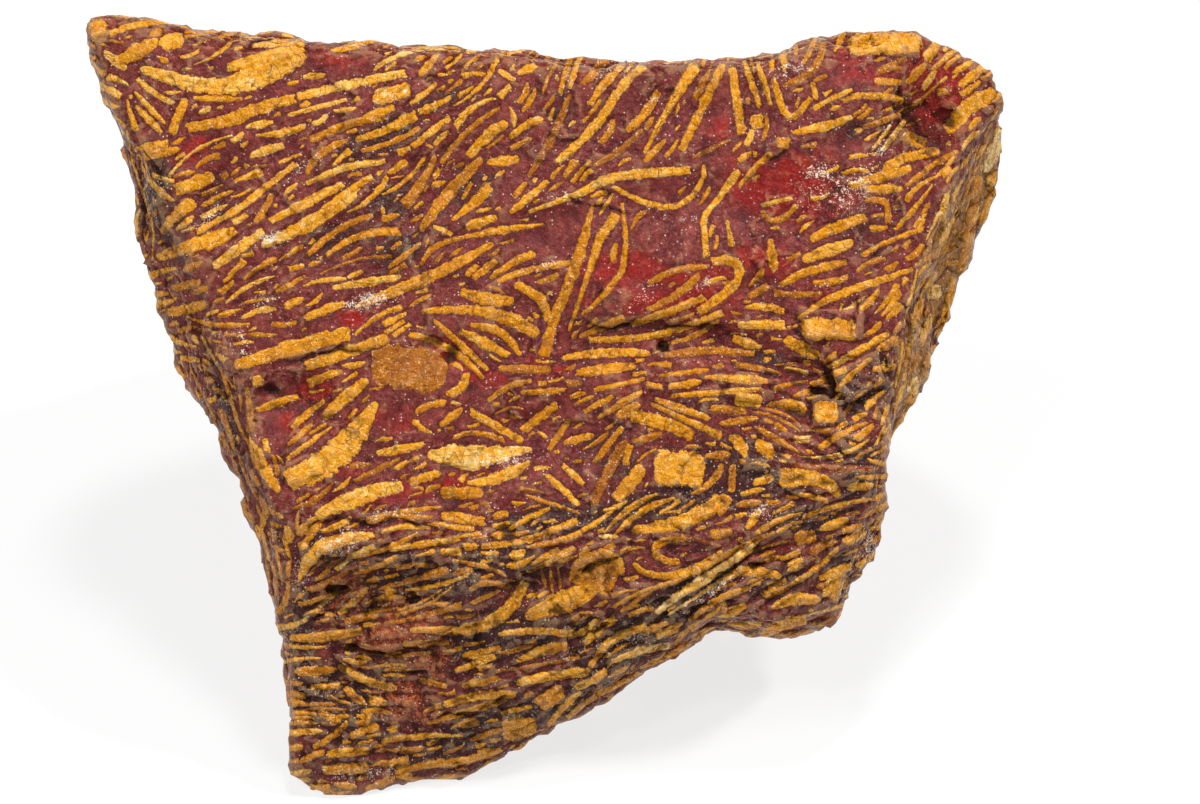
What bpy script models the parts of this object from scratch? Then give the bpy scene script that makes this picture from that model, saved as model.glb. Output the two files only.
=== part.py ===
"""A rough of snakeskin jasper, as broken from the seam: one stone, standing on a small flat spot.

Blender units are metres, +Z is up, and the origin is on the floor under the middle of the stone.
The stone is hewn in a frame of its own broad face: x to the right along the face, y up it and z out
of it. It is then leaned back into its resting place, and its underside is cut flat on the floor.
"""

import math

import bmesh
import bpy
from mathutils import Matrix, Vector, noise
from mathutils.bvhtree import BVHTree

MM = 0.001

# The broad face leans back this far from upright when the stone stands on its flat spot.
LEAN = math.radians(40.0)
# The outlines below are read along sight lines from this far in front of the face.
SIGHT_LENGTH = 380.0
# How far in front of the face the side walls are carried before the face is cut, and how far back.
CAP_FRONT = 3.0
CAP_BACK = -48.0
BACK_TAPER = 0.93
# The floor meets the tip of the foot at this place on the face.
FOOT = (-21.0, -29.6, -6.5)

# Corners round the stone where its outline is widest, in millimetres: right, up, and out of the face.
RIM = [
    (-38.9, 28.9, -6.0), (-30.5, 28.6, -6.5), (-20.6, 27.9, -7.0), (-11.4, 27.2, -7.0),
    (-3.1, 26.3, -7.0), (3.1, 25.5, -6.5), (10.7, 26.6, -6.5), (16.8, 27.8, -6.0),
    (22.9, 28.8, -5.0), (25.9, 27.8, -6.0), (30.0, 26.2, -5.5), (31.6, 23.0, -8.0),
    (30.2, 18.5, -13.0), (27.7, 10.0, -14.0), (25.8, 1.6, -12.0), (22.1, -4.3, -9.5),
    (21.1, -9.1, -8.0), (20.0, -13.8, -8.0), (18.0, -16.9, -8.0), (14.1, -18.2, -8.0),
    (9.0, -17.3, -9.0), (3.1, -20.6, -8.5), (-3.1, -25.2, -8.0), (-9.8, -28.3, -8.0),
    (-16.0, -29.2, -7.5), (-21.0, -30.0, -7.0), (-23.3, -28.2, -6.5), (-24.0, -22.0, -6.0),
    (-24.8, -13.6, -6.0), (-27.6, -5.9, -7.0), (-32.2, 4.3, -8.0), (-34.8, 10.8, -8.0),
    (-36.7, 20.0, -6.0), (-38.2, 25.3, -6.0),
]
# The arris where each of those walls meets the broad face.
ARRIS = [
    (-38.2, 27.9), (-30.1, 27.3), (-21.7, 26.0), (-12.2, 25.5),
    (-3.4, 25.6), (3.1, 25.2), (10.7, 25.5), (16.4, 26.4),
    (21.7, 26.2), (25.2, 25.3), (28.1, 24.2), (29.4, 21.9),
    (27.6, 19.5), (24.8, 12.4), (23.1, 5.9), (21.7, -2.9),
    (20.4, -9.0), (18.5, -13.0), (16.4, -15.1), (13.3, -16.2),
    (8.5, -16.0), (2.4, -19.7), (-3.7, -23.3), (-10.3, -26.4),
    (-16.0, -27.9), (-20.4, -28.7), (-22.3, -27.5), (-23.5, -22.0),
    (-23.8, -15.1), (-25.8, -5.2), (-28.2, 4.3), (-30.3, 11.6),
    (-34.7, 16.9), (-37.5, 24.4),
]

# Fracture faces, each by a point on it and the way it faces.
FRONT_FACES = {
    "broad face": ((0, 5, 0.0), (-0.02, 0.08, 1)),
    "lower left face": ((-14, -10.5, 1.1), (-0.10, -0.30, 1)),
    "lower middle face": ((4, -10.5, 1.4), (0.04, -0.42, 1)),
    "right flank": ((19, 8, 0.5), (0.35, 0.05, 1)),
    "left shoulder": ((-26, 20, -0.2), (-0.15, 0.15, 1)),
    "bulge": ((15, -11, 0.6), (0.34, -0.36, 1)),
}
BACK_FACES = {
    "back": ((0, 4, -38), (0.08, -0.16, -1)),
    "upper back": ((-5, 27.8, -12), (0.04, 0.94, -0.34)),
    "upper back right": ((22, 26, -12), (0.38, 0.86, -0.40)),
    "left back": ((-34, 8, -12), (-0.88, -0.26, -0.40)),
    "right back": ((30, 12, -15), (0.88, -0.04, -0.46)),
    "high left back": ((-38, 28, -11), (-0.60, 0.50, -0.62)),
    "far left back": ((-22, 12, -30), (-0.66, 0.16, -0.73)),
    "far right back": ((20, 10, -32), (0.56, 0.30, -0.78)),
    "low left back": ((-24, -19, -11), (-0.70, -0.30, -0.62)),
    "low right back": ((20, -13, -12.5), (0.66, -0.46, -0.60)),
}

# Shell-shaped hollows where flakes came away. Each has a place near the surface, its length, width
# and depth, the heading of its length about the surface's normal, and how far it is tipped along it.
HOLLOWS = {
    "long hollow": ((3.0, 4.8, 0), (13.5, 5.4, 1.2), 4, 12),
    "long hollow, right end": ((9.5, 4.2, 0), (10.0, 4.4, 1.2), -8, 8),
    "hollow by the step": ((15.4, 1.4, 0), (6.0, 5.4, 1.2), -20, 8),
    "left hollow": ((-23.4, 0.3, 0), (6.6, 4.2, 1.1), 12, 8),
    "lower hollow": ((-17.0, -14.4, 0), (10.5, 4.6, 1.3), 12, 6),
    "small hollow": ((-11.2, 3.8, 0), (5.4, 3.2, 0.7), -35, 0),
    "corner hollow": ((-30.0, 15.0, -2), (8.0, 4.0, 0.8), 60, 0),
    "middle hollow": ((-2.0, -13.0, 0), (13.0, 3.2, 0.8), 6, 6),
    "bulge valley": ((11.0, -12.2, 0), (11.0, 2.0, 0.8), 32, 0),
    "knob groove": ((26.3, 21.6, 0), (9.0, 4.0, 1.5), -70, 0),
    "knob saddle": ((19.0, 21.0, 0), (7.0, 4.0, 0.7), 25, 0),
    "side notch": ((22.4, -4.4, -6), (9.0, 2.4, 1.2), 80, 0),
    "side flake": ((29.0, 12.0, -9), (13.0, 6.0, 0.8), 75, 0),
    "top flake": ((-16.0, 27.0, -9), (24.0, 9.0, 1.0), 0, 5),
    "top back flake": ((12.0, 20.0, -26), (28.0, 15.0, 1.2), 25, 8),
    "left flake": ((-30.0, 4.0, -14), (24.0, 9.0, 1.0), 70, 6),
    "left low flake": ((-21.0, -16.0, -16), (17.0, 7.0, 0.8), 30, 6),
    "back flake": ((-6.0, 3.0, -38), (32.0, 15.0, 1.2), 15, 6),
    "low back flake": ((8.0, -7.0, -30), (20.0, 9.0, 0.9), -30, 0),
    "right back flake": ((27.0, 6.0, -19), (24.0, 8.0, 0.9), 62, -6),
    "right low flake": ((17.0, -14.0, -16), (16.0, 6.0, 0.8), -20, 0),
}
# A cutter's centre stands out of the surface by this share of its own half depth.
CUTTER_RAISE = 0.75

# Rough of the broken surface: the size of a lump and how far it stands out, in millimetres.
LUMPS = [(11.0, 0.6), (4.8, 0.38), (2.4, 0.30)]
# Ledges along the bedding: the spacing of the swells they step round, their count and their height.
LEDGE_SPACING = (15.0, 6.5, 8.0)
LEDGE_TURN = math.radians(18.0)
LEDGE_LEVELS = 3.2
LEDGE_HEIGHT = 0.6
LEDGE_RISE = 0.2
# The broad face broke along the bedding and is smoother: its ledges keep this share of their height.
# They come to their full height between these two depths behind it.
BROAD_SHARE = 0.35
BROAD_DEPTH = 5.0
FULL_DEPTH = 15.0

VOXEL = 0.6 * MM
TRIANGLES = 9700
FLOOR_BLOCK = 200 * MM
FLAT_DEPTH = 0.02 * MM
# Share of the way each corner moves to the middle of its neighbours, once roughened.
WEATHERING = 0.15


def in_metres(point):
    return Vector(point) * MM


def along_sight(right, up, out):
    """The point at depth out that is seen in line with (right, up) on the face."""
    spread = 1.0 - out / SIGHT_LENGTH
    return in_metres((right * spread, up * spread, out))


def wall_sections():
    """The closed outlines that the side walls run through: in front of the face, at the rim, and behind."""
    front = []
    for (rim_right, rim_up, rim_out), (right, up) in zip(RIM, ARRIS):
        lead = CAP_FRONT / (CAP_FRONT - rim_out)
        front.append(along_sight(
            right + (right - rim_right) * lead, up + (up - rim_up) * lead, CAP_FRONT))
    rim = [along_sight(*corner) for corner in RIM]
    back = [in_metres((right * BACK_TAPER, up * BACK_TAPER, CAP_BACK)) for right, up, _ in RIM]
    return [front, rim, back]


def loft(sections):
    """A closed block through the sections."""
    block = bmesh.new()
    rings = [[block.verts.new(point) for point in section] for section in sections]
    count = len(rings[0])
    for near, far in zip(rings, rings[1:]):
        for i in range(count):
            j = (i + 1) % count
            block.faces.new((near[i], near[j], far[j], far[i]))
    block.faces.new(rings[0])
    block.faces.new(rings[-1])
    bmesh.ops.triangulate(block, faces=block.faces[:])
    bmesh.ops.recalc_face_normals(block, faces=block.faces[:])
    return block


def hew(block, point, facing):
    """Breaks the block off flat along one fracture face."""
    everything = block.verts[:] + block.edges[:] + block.faces[:]
    bmesh.ops.bisect_plane(
        block, geom=everything, plane_co=in_metres(point), plane_no=Vector(facing).normalized(),
        clear_outer=True)
    open_edges = [edge for edge in block.edges if edge.is_boundary]
    filled = bmesh.ops.holes_fill(block, edges=open_edges)["faces"]
    bmesh.ops.triangulate(block, faces=filled)


def new_object(name, mesh, collection, helper=False):
    made = bpy.data.objects.new(name, mesh)
    collection.objects.link(made)
    if helper:
        made.hide_render = True
        made.display_type = "WIRE"
    return made


def surface_place(block, near, turn, tip):
    """Axes on the surface nearest to a place: x along a heading, z straight out of the stone."""
    place, normal, _, _ = BVHTree.FromBMesh(block).find_nearest(in_metres(near))
    along = Vector((1, 0, 0))
    along = (along - along.project(normal)).normalized()
    axes = Matrix((along, normal.cross(along), normal)).transposed().to_4x4()
    spin = Matrix.Rotation(math.radians(turn), 4, "Z") @ Matrix.Rotation(math.radians(tip), 4, "X")
    return Matrix.Translation(place) @ axes @ spin


def hollow_cutter(name, place, size, collection):
    """An ellipsoid that takes out one shell-shaped hollow of a given length, width and depth."""
    length, width, depth = in_metres(size)
    share = math.sqrt(1.0 - CUTTER_RAISE ** 2)
    half_depth = depth / (1.0 - CUTTER_RAISE)
    half_axes = (length / 2 / share, width / 2 / share, half_depth)
    shape = bmesh.new()
    bmesh.ops.create_uvsphere(shape, u_segments=40, v_segments=20, radius=1.0)
    raised = Matrix.Translation((0, 0, CUTTER_RAISE * half_depth))
    shape.transform(place @ raised @ Matrix.Diagonal((*half_axes, 1.0)))
    mesh = bpy.data.meshes.new(name)
    shape.to_mesh(mesh)
    shape.free()
    return new_object(name, mesh, collection, helper=True)


def remesh(source, name):
    even = source.modifiers.new(name, "REMESH")
    even.mode = "VOXEL"
    even.voxel_size = VOXEL


def floor_mesh():
    """A block that fills the space under the floor."""
    shape = bmesh.new()
    bmesh.ops.create_cube(shape, size=FLOOR_BLOCK)
    bmesh.ops.translate(shape, verts=shape.verts[:], vec=(0, 0, -FLOOR_BLOCK / 2))
    mesh = bpy.data.meshes.new("floor_cutter")
    shape.to_mesh(mesh)
    shape.free()
    return mesh


def evaluated_mesh(source):
    bpy.context.view_layer.update()
    graph = bpy.context.evaluated_depsgraph_get()
    return bpy.data.meshes.new_from_object(source.evaluated_get(graph))


def ledge_height(point):
    """A flight of low ledges that step round slow swells drawn out along the bedding."""
    turned = Matrix.Rotation(-LEDGE_TURN, 3, "Z") @ point / MM
    swell = noise.noise([turned[i] / LEDGE_SPACING[i] for i in range(3)]) * LEDGE_LEVELS
    level = math.floor(swell)
    rise = min((swell - level) / LEDGE_RISE, 1.0)
    behind = (-point.z / MM - BROAD_DEPTH) / (FULL_DEPTH - BROAD_DEPTH)
    share = BROAD_SHARE + (1.0 - BROAD_SHARE) * min(max(behind, 0.0), 1.0)
    return (level + rise * rise * (3 - 2 * rise)) * LEDGE_HEIGHT * share


def roughness_at(point):
    """How far the broken surface stands out of its fracture face at a point, in metres."""
    height = ledge_height(point)
    for size, amount in LUMPS:
        height += amount * noise.noise(point / (size * MM))
    return height * MM


def roughen(mesh):
    shape = bmesh.new()
    shape.from_mesh(mesh)
    shape.normal_update()
    moves = [(corner, corner.normal * roughness_at(corner.co)) for corner in shape.verts]
    for corner, move in moves:
        corner.co += move
    bmesh.ops.smooth_vert(
        shape, verts=shape.verts[:], factor=WEATHERING, use_axis_x=True, use_axis_y=True, use_axis_z=True)
    shape.to_mesh(mesh)
    shape.free()


def resting_place():
    """Turns the face's own frame into the stone's: +Z up, with the foot on the floor."""
    lean = Matrix((
        (1, 0, 0, 0),
        (0, math.sin(LEAN), -math.cos(LEAN), 0),
        (0, math.cos(LEAN), math.sin(LEAN), 0),
        (0, 0, 0, 1)))
    foot = lean @ along_sight(*FOOT)
    return Matrix.Translation((0, 0, -foot.z)) @ lean


def flatten_base(shape):
    """Sets every corner of the flat spot exactly on the floor."""
    for corner in shape.verts:
        if corner.co.z < FLAT_DEPTH:
            corner.co.z = 0.0
    bmesh.ops.dissolve_degenerate(shape, dist=FLAT_DEPTH / 10, edges=shape.edges[:])


def centre_over_origin(shape):
    """Shifts the stone along the floor until the middle of its box is over the origin."""
    shift = Vector((0, 0, 0))
    for axis in range(2):
        places = [corner.co[axis] for corner in shape.verts]
        shift[axis] = -(min(places) + max(places)) / 2
    bmesh.ops.translate(shape, verts=shape.verts[:], vec=shift)


def stone_material():
    material = bpy.data.materials.new("jasper")
    material.use_nodes = True
    shader = material.node_tree.nodes["Principled BSDF"]
    shader.inputs["Base Color"].default_value = (0.35, 0.14, 0.045, 1.0)
    shader.inputs["Roughness"].default_value = 0.5
    shader.inputs["Metallic"].default_value = 0.0
    return material


def main():
    for old in list(bpy.data.objects):
        bpy.data.objects.remove(old)
    stone_parts = bpy.data.collections.new("snakeskin jasper")
    cutters = bpy.data.collections.new("cutters")
    for collection in (stone_parts, cutters):
        bpy.context.scene.collection.children.link(collection)

    block = loft(wall_sections())
    for point, facing in [*FRONT_FACES.values(), *BACK_FACES.values()]:
        hew(block, point, facing)
    block_mesh = bpy.data.meshes.new("hewn_block")
    block.to_mesh(block_mesh)
    hewn = new_object("hewn_block", block_mesh, cutters, helper=True)
    for name, (near, size, turn, tip) in HOLLOWS.items():
        cut = hewn.modifiers.new(name, "BOOLEAN")
        cut.operation = "DIFFERENCE"
        cut.object = hollow_cutter(name, surface_place(block, near, turn, tip), size, cutters)
    block.free()
    remesh(hewn, "even mesh")

    rough_mesh = evaluated_mesh(hewn)
    roughen(rough_mesh)
    rough_mesh.transform(resting_place())
    rough = new_object("rough_stone", rough_mesh, cutters, helper=True)
    remesh(rough, "heal folds")
    flat_spot = rough.modifiers.new("flat spot", "BOOLEAN")
    flat_spot.operation = "DIFFERENCE"
    flat_spot.object = new_object("floor_cutter", floor_mesh(), cutters, helper=True)
    thin = rough.modifiers.new("fewer faces", "DECIMATE")
    thin.ratio = TRIANGLES / (2 * len(rough_mesh.polygons))

    stone_mesh = evaluated_mesh(rough)
    stone_shape = bmesh.new()
    stone_shape.from_mesh(stone_mesh)
    flatten_base(stone_shape)
    centre_over_origin(stone_shape)
    stone_shape.to_mesh(stone_mesh)
    stone_shape.free()
    stone_mesh.materials.clear()
    stone_mesh.materials.append(stone_material())
    stone_mesh.shade_smooth()
    new_object("jasper_stone", stone_mesh, stone_parts)


main()
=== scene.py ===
"""Snakeskin jasper: one rough broken stone, maroon with golden plates, resting on a white floor."""

import math
import random

import bmesh
import bpy
import numpy as np
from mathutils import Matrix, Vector
from mathutils.bvhtree import BVHTree


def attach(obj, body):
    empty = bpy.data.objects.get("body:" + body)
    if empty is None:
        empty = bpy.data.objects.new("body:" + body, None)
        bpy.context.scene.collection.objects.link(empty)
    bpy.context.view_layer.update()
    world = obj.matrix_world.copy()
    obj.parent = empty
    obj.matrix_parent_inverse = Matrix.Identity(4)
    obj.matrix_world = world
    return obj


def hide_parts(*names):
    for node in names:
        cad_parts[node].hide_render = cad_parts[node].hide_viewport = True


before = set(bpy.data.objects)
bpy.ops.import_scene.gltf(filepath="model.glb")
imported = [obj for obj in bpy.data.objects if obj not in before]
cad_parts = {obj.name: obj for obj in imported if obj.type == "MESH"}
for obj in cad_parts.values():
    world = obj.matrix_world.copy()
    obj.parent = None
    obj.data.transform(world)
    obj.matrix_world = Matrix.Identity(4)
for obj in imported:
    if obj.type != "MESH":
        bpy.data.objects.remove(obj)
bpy.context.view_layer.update()

# The view
# A close-up lens looks down on the stone's broad face, 40 degrees above the floor.
# Places on that face are read off the photo in its own pixels, and this says where they are.
MM = 0.001
SIGHT_DOWN = math.radians(40)
SIGHT_LENGTH = 381
SIGHT_POINT = np.array([3.7285, -13.7653, 27.2409])
RIGHT = np.array([1.0, 0.0, 0.0])
UP = np.array([0.0, math.sin(SIGHT_DOWN), math.cos(SIGHT_DOWN)])
OUT = np.array([0.0, -math.cos(SIGHT_DOWN), math.sin(SIGHT_DOWN)])
EYE = SIGHT_POINT + SIGHT_LENGTH * OUT
PIXEL = 0.07625
PHOTO_MIDDLE = np.array([600.0, 402.0])
SENSOR = 36
LENS = SIGHT_LENGTH * SENSOR / (2 * PHOTO_MIDDLE[0] * PIXEL)
NEAREST_SHOWN = 0.01
FURTHEST_SHOWN = 10


def photo_place(places):
    """The pixels of the photo at which places on the stone, in mm, are seen."""
    off = places - SIGHT_POINT
    scale = PIXEL * (1 - off @ OUT / SIGHT_LENGTH)
    across = PHOTO_MIDDLE[0] + off @ RIGHT / scale
    down = PHOTO_MIDDLE[1] - off @ UP / scale
    return np.stack([across, down], axis=-1)


def in_scene(name, data):
    """A new object of the scene."""
    made = bpy.data.objects.new(name, data)
    bpy.context.scene.collection.objects.link(made)
    return made


def aim(made, place, direction):
    """Puts a camera or a lamp at a place in metres, looking along a direction."""
    made.location = place
    made.rotation_mode = "QUATERNION"
    made.rotation_quaternion = Vector(direction).to_track_quat("-Z", "Y")


camera_data = bpy.data.cameras.new("view")
camera_data.lens = LENS
camera_data.sensor_width = SENSOR
camera_data.clip_start = NEAREST_SHOWN
camera_data.clip_end = FURTHEST_SHOWN
camera = in_scene("view", camera_data)
aim(camera, Vector(EYE) * MM, -OUT)
bpy.context.scene.camera = camera

# The stone's body
# A natural jasper fragment about 72 mm wide, broken, not polished.
# The exact solid is made an even fine mesh, finer on the broad face, and roughened along its normals.
EVEN_GRID = 0.55
SOFTENING = 0.5
FINE_FACING = 0.30
MERGE_REACH = 1e-6


def smooth_step(low, high, value):
    """0 below low and 1 above high, with a soft rise between."""
    t = np.clip((value - low) / (high - low), 0, 1)
    return t * t * (3 - 2 * t)


def even_mesh(solid):
    """The solid's surface as even small squares, from a copy of its mesh."""
    mesh = solid.data.copy()
    shape = bmesh.new()
    shape.from_mesh(mesh)
    bmesh.ops.remove_doubles(shape, verts=shape.verts, dist=MERGE_REACH)
    shape.to_mesh(mesh)
    shape.free()
    holder = in_scene("even", mesh)
    grid = holder.modifiers.new("even", "REMESH")
    grid.mode = "VOXEL"
    grid.voxel_size = EVEN_GRID * MM
    grid.adaptivity = 0
    depsgraph = bpy.context.evaluated_depsgraph_get()
    even = bpy.data.meshes.new_from_object(holder.evaluated_get(depsgraph))
    bpy.data.objects.remove(holder)
    bpy.data.meshes.remove(mesh)
    return even


skin = even_mesh(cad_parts["jasper_stone"])
shape = bmesh.new()
shape.from_mesh(skin)
bmesh.ops.smooth_vert(shape, verts=shape.verts, factor=SOFTENING)
bmesh.ops.triangulate(shape, faces=shape.faces)
shape.normal_update()
fine_faces = [f for f in shape.faces if f.normal.dot(Vector(OUT)) > FINE_FACING]
fine_edges = list({e for f in fine_faces for e in f.edges})
bmesh.ops.subdivide_edges(shape, edges=fine_edges, cuts=1, use_grid_fill=True)
bmesh.ops.triangulate(shape, faces=[f for f in shape.faces if len(f.verts) > 3])
shape.to_mesh(skin)
shape.free()
skin.name = "snakeskin_jasper"
stone = in_scene("snakeskin_jasper", skin)


def read_skin(what):
    """The place, or the direction in which it faces, of each point of the skin."""
    flat = np.empty(len(skin.vertices) * 3)
    skin.vertices.foreach_get(what, flat)
    return flat.reshape(-1, 3)


def write_skin(places):
    """Puts the points of the skin at places in mm."""
    skin.vertices.foreach_set("co", (places * MM).ravel())
    skin.update()


def store(name, values, domain="POINT"):
    """Keeps three values for each point, or each corner of the faces, for the material to read."""
    layer = skin.attributes.new(name, "FLOAT_VECTOR", domain)
    layer.data.foreach_set("vector", values.astype(np.float32).ravel())


def dots(first, second):
    """The dot product of each pair of rows."""
    return np.einsum("ij,ij->i", first, second)


def units(rows):
    """The rows as directions, each 1 long."""
    return rows / np.linalg.norm(rows, axis=1)[:, None]


CLOUD_CELLS = 32
CLOUD_SHIFT = 7.31
CHIP_SHIFT = 5.17
CHIP_LEVEL = 0.6
CHIP_TILT = 1.2
cloud_dice = np.random.default_rng(4107)
CLOUD_VALUES = cloud_dice.random((CLOUD_CELLS, CLOUD_CELLS, CLOUD_CELLS))


def clouds(places, size, seed):
    """Smooth random values between 0 and 1 whose lumps are about size mm across."""
    place = places / size + seed * CLOUD_SHIFT
    cell = np.floor(place).astype(int)
    part = place - cell
    part = part * part * (3 - 2 * part)
    total = 0.0
    for dx in (0, 1):
        for dy in (0, 1):
            for dz in (0, 1):
                corner = (cell + (dx, dy, dz)) % CLOUD_CELLS
                share = (
                    (part[..., 0] if dx else 1 - part[..., 0])
                    * (part[..., 1] if dy else 1 - part[..., 1])
                    * (part[..., 2] if dz else 1 - part[..., 2])
                )
                total = total + share * CLOUD_VALUES[corner[..., 0], corner[..., 1], corner[..., 2]]
    return total


def chips(places, size, seed):
    """Heights about 0 of flat tilted pieces about size mm across, as a broken stone shows."""
    place = places / size + seed * CHIP_SHIFT
    cell = np.floor(place).astype(int)
    nearest = np.full(len(places), 1e9)
    height = np.zeros(len(places))
    for dx in (-1, 0, 1):
        for dy in (-1, 0, 1):
            for dz in (-1, 0, 1):
                x, y, z = ((cell + (dx, dy, dz)) % CLOUD_CELLS).T
                draw = np.column_stack([CLOUD_VALUES[x, y, z], CLOUD_VALUES[y, z, x], CLOUD_VALUES[z, x, y]])
                tilt = np.column_stack([CLOUD_VALUES[x, z, y], CLOUD_VALUES[y, x, z], CLOUD_VALUES[z, y, x]])
                off = place - (cell + (dx, dy, dz) + draw)
                apart = dots(off, off)
                nearer = apart < nearest
                nearest = np.where(nearer, apart, nearest)
                level = (draw[:, 0] - 0.5) * CHIP_LEVEL + dots(off, tilt - 0.5) * CHIP_TILT
                height = np.where(nearer, level, height)
    return height


CORNER_CUT = 0.25


def rounded_path(points, times=2):
    """A path whose corners are cut off again and again, so that it bends softly."""
    path = np.array(points, float)
    if len(path) < 3:
        return path
    for _ in range(times):
        near = (1 - CORNER_CUT) * path[:-1] + CORNER_CUT * path[1:]
        far = CORNER_CUT * path[:-1] + (1 - CORNER_CUT) * path[1:]
        inner = np.empty((2 * len(near), 2))
        inner[0::2] = near
        inner[1::2] = far
        path = np.vstack([path[:1], inner[1:-1], path[-1:]])
    return path


def along_path(places, path):
    """How far along a path on the photo each place is, how far to its side, and the path's length."""
    steps = path[1:] - path[:-1]
    lengths = np.maximum(np.linalg.norm(steps, axis=1), 1e-6)
    starts = np.concatenate([[0], np.cumsum(lengths)])
    best = np.full(places.shape[:-1], 1e9)
    along = np.zeros(places.shape[:-1])
    aside = np.zeros(places.shape[:-1])
    last = len(steps) - 1
    for n, (step, length) in enumerate(zip(steps, lengths)):
        direction = step / length
        off = places - path[n]
        ahead = off @ direction
        side = off @ np.array([-direction[1], direction[0]])
        held = np.clip(ahead, 0, length)
        apart = np.hypot(ahead - held, side)
        nearer = apart < best
        best = np.where(nearer, apart, best)
        free = np.clip(ahead, -1e9 if n == 0 else 0, 1e9 if n == last else length)
        beyond = apart if last else np.abs(side)
        full = np.where((ahead < 0) & (n > 0) | (ahead > length) & (n < last), beyond, np.abs(side))
        along = np.where(nearer, starts[n] + free, along)
        aside = np.where(nearer, np.sign(side) * full, aside)
    return along, aside, starts[-1]


# Cracks and edges of the broad face: depth in mm, width in photo pixels, then the path in photo pixels
CRACKS = [
    (0.22, 5, (551, 187), (585, 207), (625, 212), (650, 218)),
    (0.30, 7, (552, 318), (600, 325), (650, 322), (705, 324), (745, 336)),
    (0.35, 7, (790, 314), (806, 345), (826, 372), (845, 398)),
    (0.45, 8, (829, 352), (831, 378), (829, 408)),
    (0.40, 8, (786, 428), (815, 436), (838, 448), (852, 466)),
    (0.35, 6, (858, 292), (860, 318), (857, 342)),
    (0.35, 7, (902, 60), (905, 92), (918, 122), (940, 143)),
    (0.30, 7, (690, 604), (728, 566), (786, 540), (813, 519)),
    (0.30, 7, (284, 540), (330, 520), (398, 516), (465, 536)),
    (0.30, 7, (320, 640), (372, 655), (430, 648), (470, 664)),
    (0.28, 6, (128, 120), (152, 150), (170, 196)),
    (0.30, 7, (265, 372), (300, 362), (350, 356), (388, 344)),
    (0.10, 6, (560, 585), (600, 566), (625, 560)),
    (0.30, 6, (880, 345), (893, 372), (884, 410)),
    (0.25, 6, (470, 590), (512, 584), (560, 560)),
    (0.25, 6, (640, 640), (690, 612), (742, 590)),
    (0.25, 6, (415, 725), (470, 712), (540, 690)),
]
# Pits of the broad face: middle in photo pixels, width in pixels and depth in mm
PITS = [
    (660, 347, 9, 0.45),
    (335, 592, 17, 0.5),
    (410, 595, 14, 0.45),
    (376, 604, 14, 0.35),
    (448, 352, 18, 0.4),
    (430, 340, 11, 0.3),
    (268, 392, 15, 0.35),
    (505, 532, 14, 0.3),
    (545, 530, 12, 0.25),
    (820, 392, 13, 0.35),
    (944, 118, 18, 0.4),
    (905, 108, 13, 0.3),
    (330, 418, 12, 0.25),
    (430, 566, 11, 0.3),
]
# Chips that stand proud: middle, half length, half width in pixels, turn in degrees, height in mm
BLOCKS = [
    (862, 378, 25, 18, -20, 0.55),
    (828, 412, 15, 13, 0, 0.35),
    (833, 322, 30, 15, -5, 0.30),
    (600, 570, 26, 22, 20, 0.08),
    (676, 470, 26, 18, 10, 0.15),
    (885, 44, 36, 10, 0, 0.25),
    (700, 590, 66, 7, -36, 0.14),
    (552, 626, 52, 9, -15, 0.25),
    (430, 632, 60, 9, -8, 0.22),
    (800, 470, 60, 8, 8, 0.22),
    (345, 545, 45, 9, -15, 0.25),
    (768, 392, 38, 12, 12, 0.25),
    (300, 470, 16, 12, -25, 0.2),
]
# Bedded ground of the broad face: middle, reach across and down in pixels, turn in degrees, height in mm
LAYERED = [
    (720, 600, 150, 55, -30, 0.15),
    (540, 690, 130, 60, -22, 0.12),
    (840, 540, 50, 90, -25, 0.15),
    (400, 590, 110, 70, -10, 0.12),
    (380, 720, 110, 70, 0, 0.10),
    (640, 530, 150, 35, -8, 0.10),
    (820, 410, 70, 60, 15, 0.12),
    (330, 200, 160, 90, -38, 0.06),
]
# Places on the outline that are cut back, or filled: middle and reach in photo pixels, depth in mm
TRIMS = [
    (950, 338, 34, 48, 1.2),
    (588, 46, 58, 26, 0.85),
    (122, 186, 22, 44, 0.7),
    (790, 646, 60, 20, 0.6),
    (855, 592, 34, 24, 0.3),
    (215, 26, 40, 20, 0.4),
    (284, 690, 20, 60, -0.2),
    (165, 318, 16, 26, -0.45),
    (106, 104, 14, 24, -0.3),
    (972, 245, 16, 22, -0.45),
    (568, 722, 24, 12, -0.25),
    (1000, 172, 20, 32, 0.6),
    (1006, 98, 14, 18, 0.3),
    (254, 548, 18, 40, 0.35),
    (450, 776, 30, 12, 0.4),
    (368, 38, 50, 10, 0.25),
]
# Each size of lump and of chip: size and height in mm
LUMPS = [(3.4, 0.24), (1.7, 0.13), (0.9, 0.07), (0.55, 0.05)]
CHIPS = [(3.6, 0.30), (1.9, 0.13), (1.0, 0.07)]
LUMP_GAIN = 1.5
BROAD_FACE_LUMPS = 0.55
SINK = 0.08
FRONT_FACING = (0.12, 0.40)
BROAD_FACING = (0.75, 0.92)
BROAD_LOWER_EDGE = (560, 470)
WARP_SIZE = 1.3
WARP_SHARE = 0.5
WARP_SEEDS = (21, 22, 23)
FOOT_FADE = (0.1, 1.6)
FOOT_SNAP = 0.16
FAR = 9.0

points = read_skin("co") / MM
normals = read_skin("normal")
facing = dots(normals, units(EYE - points))
pixels = photo_place(points)
front = smooth_step(*FRONT_FACING, facing)
broad = smooth_step(*BROAD_FACING, normals @ OUT) * smooth_step(*BROAD_LOWER_EDGE, pixels[:, 1])
foot = smooth_step(*FOOT_FADE, points[:, 2])


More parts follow.
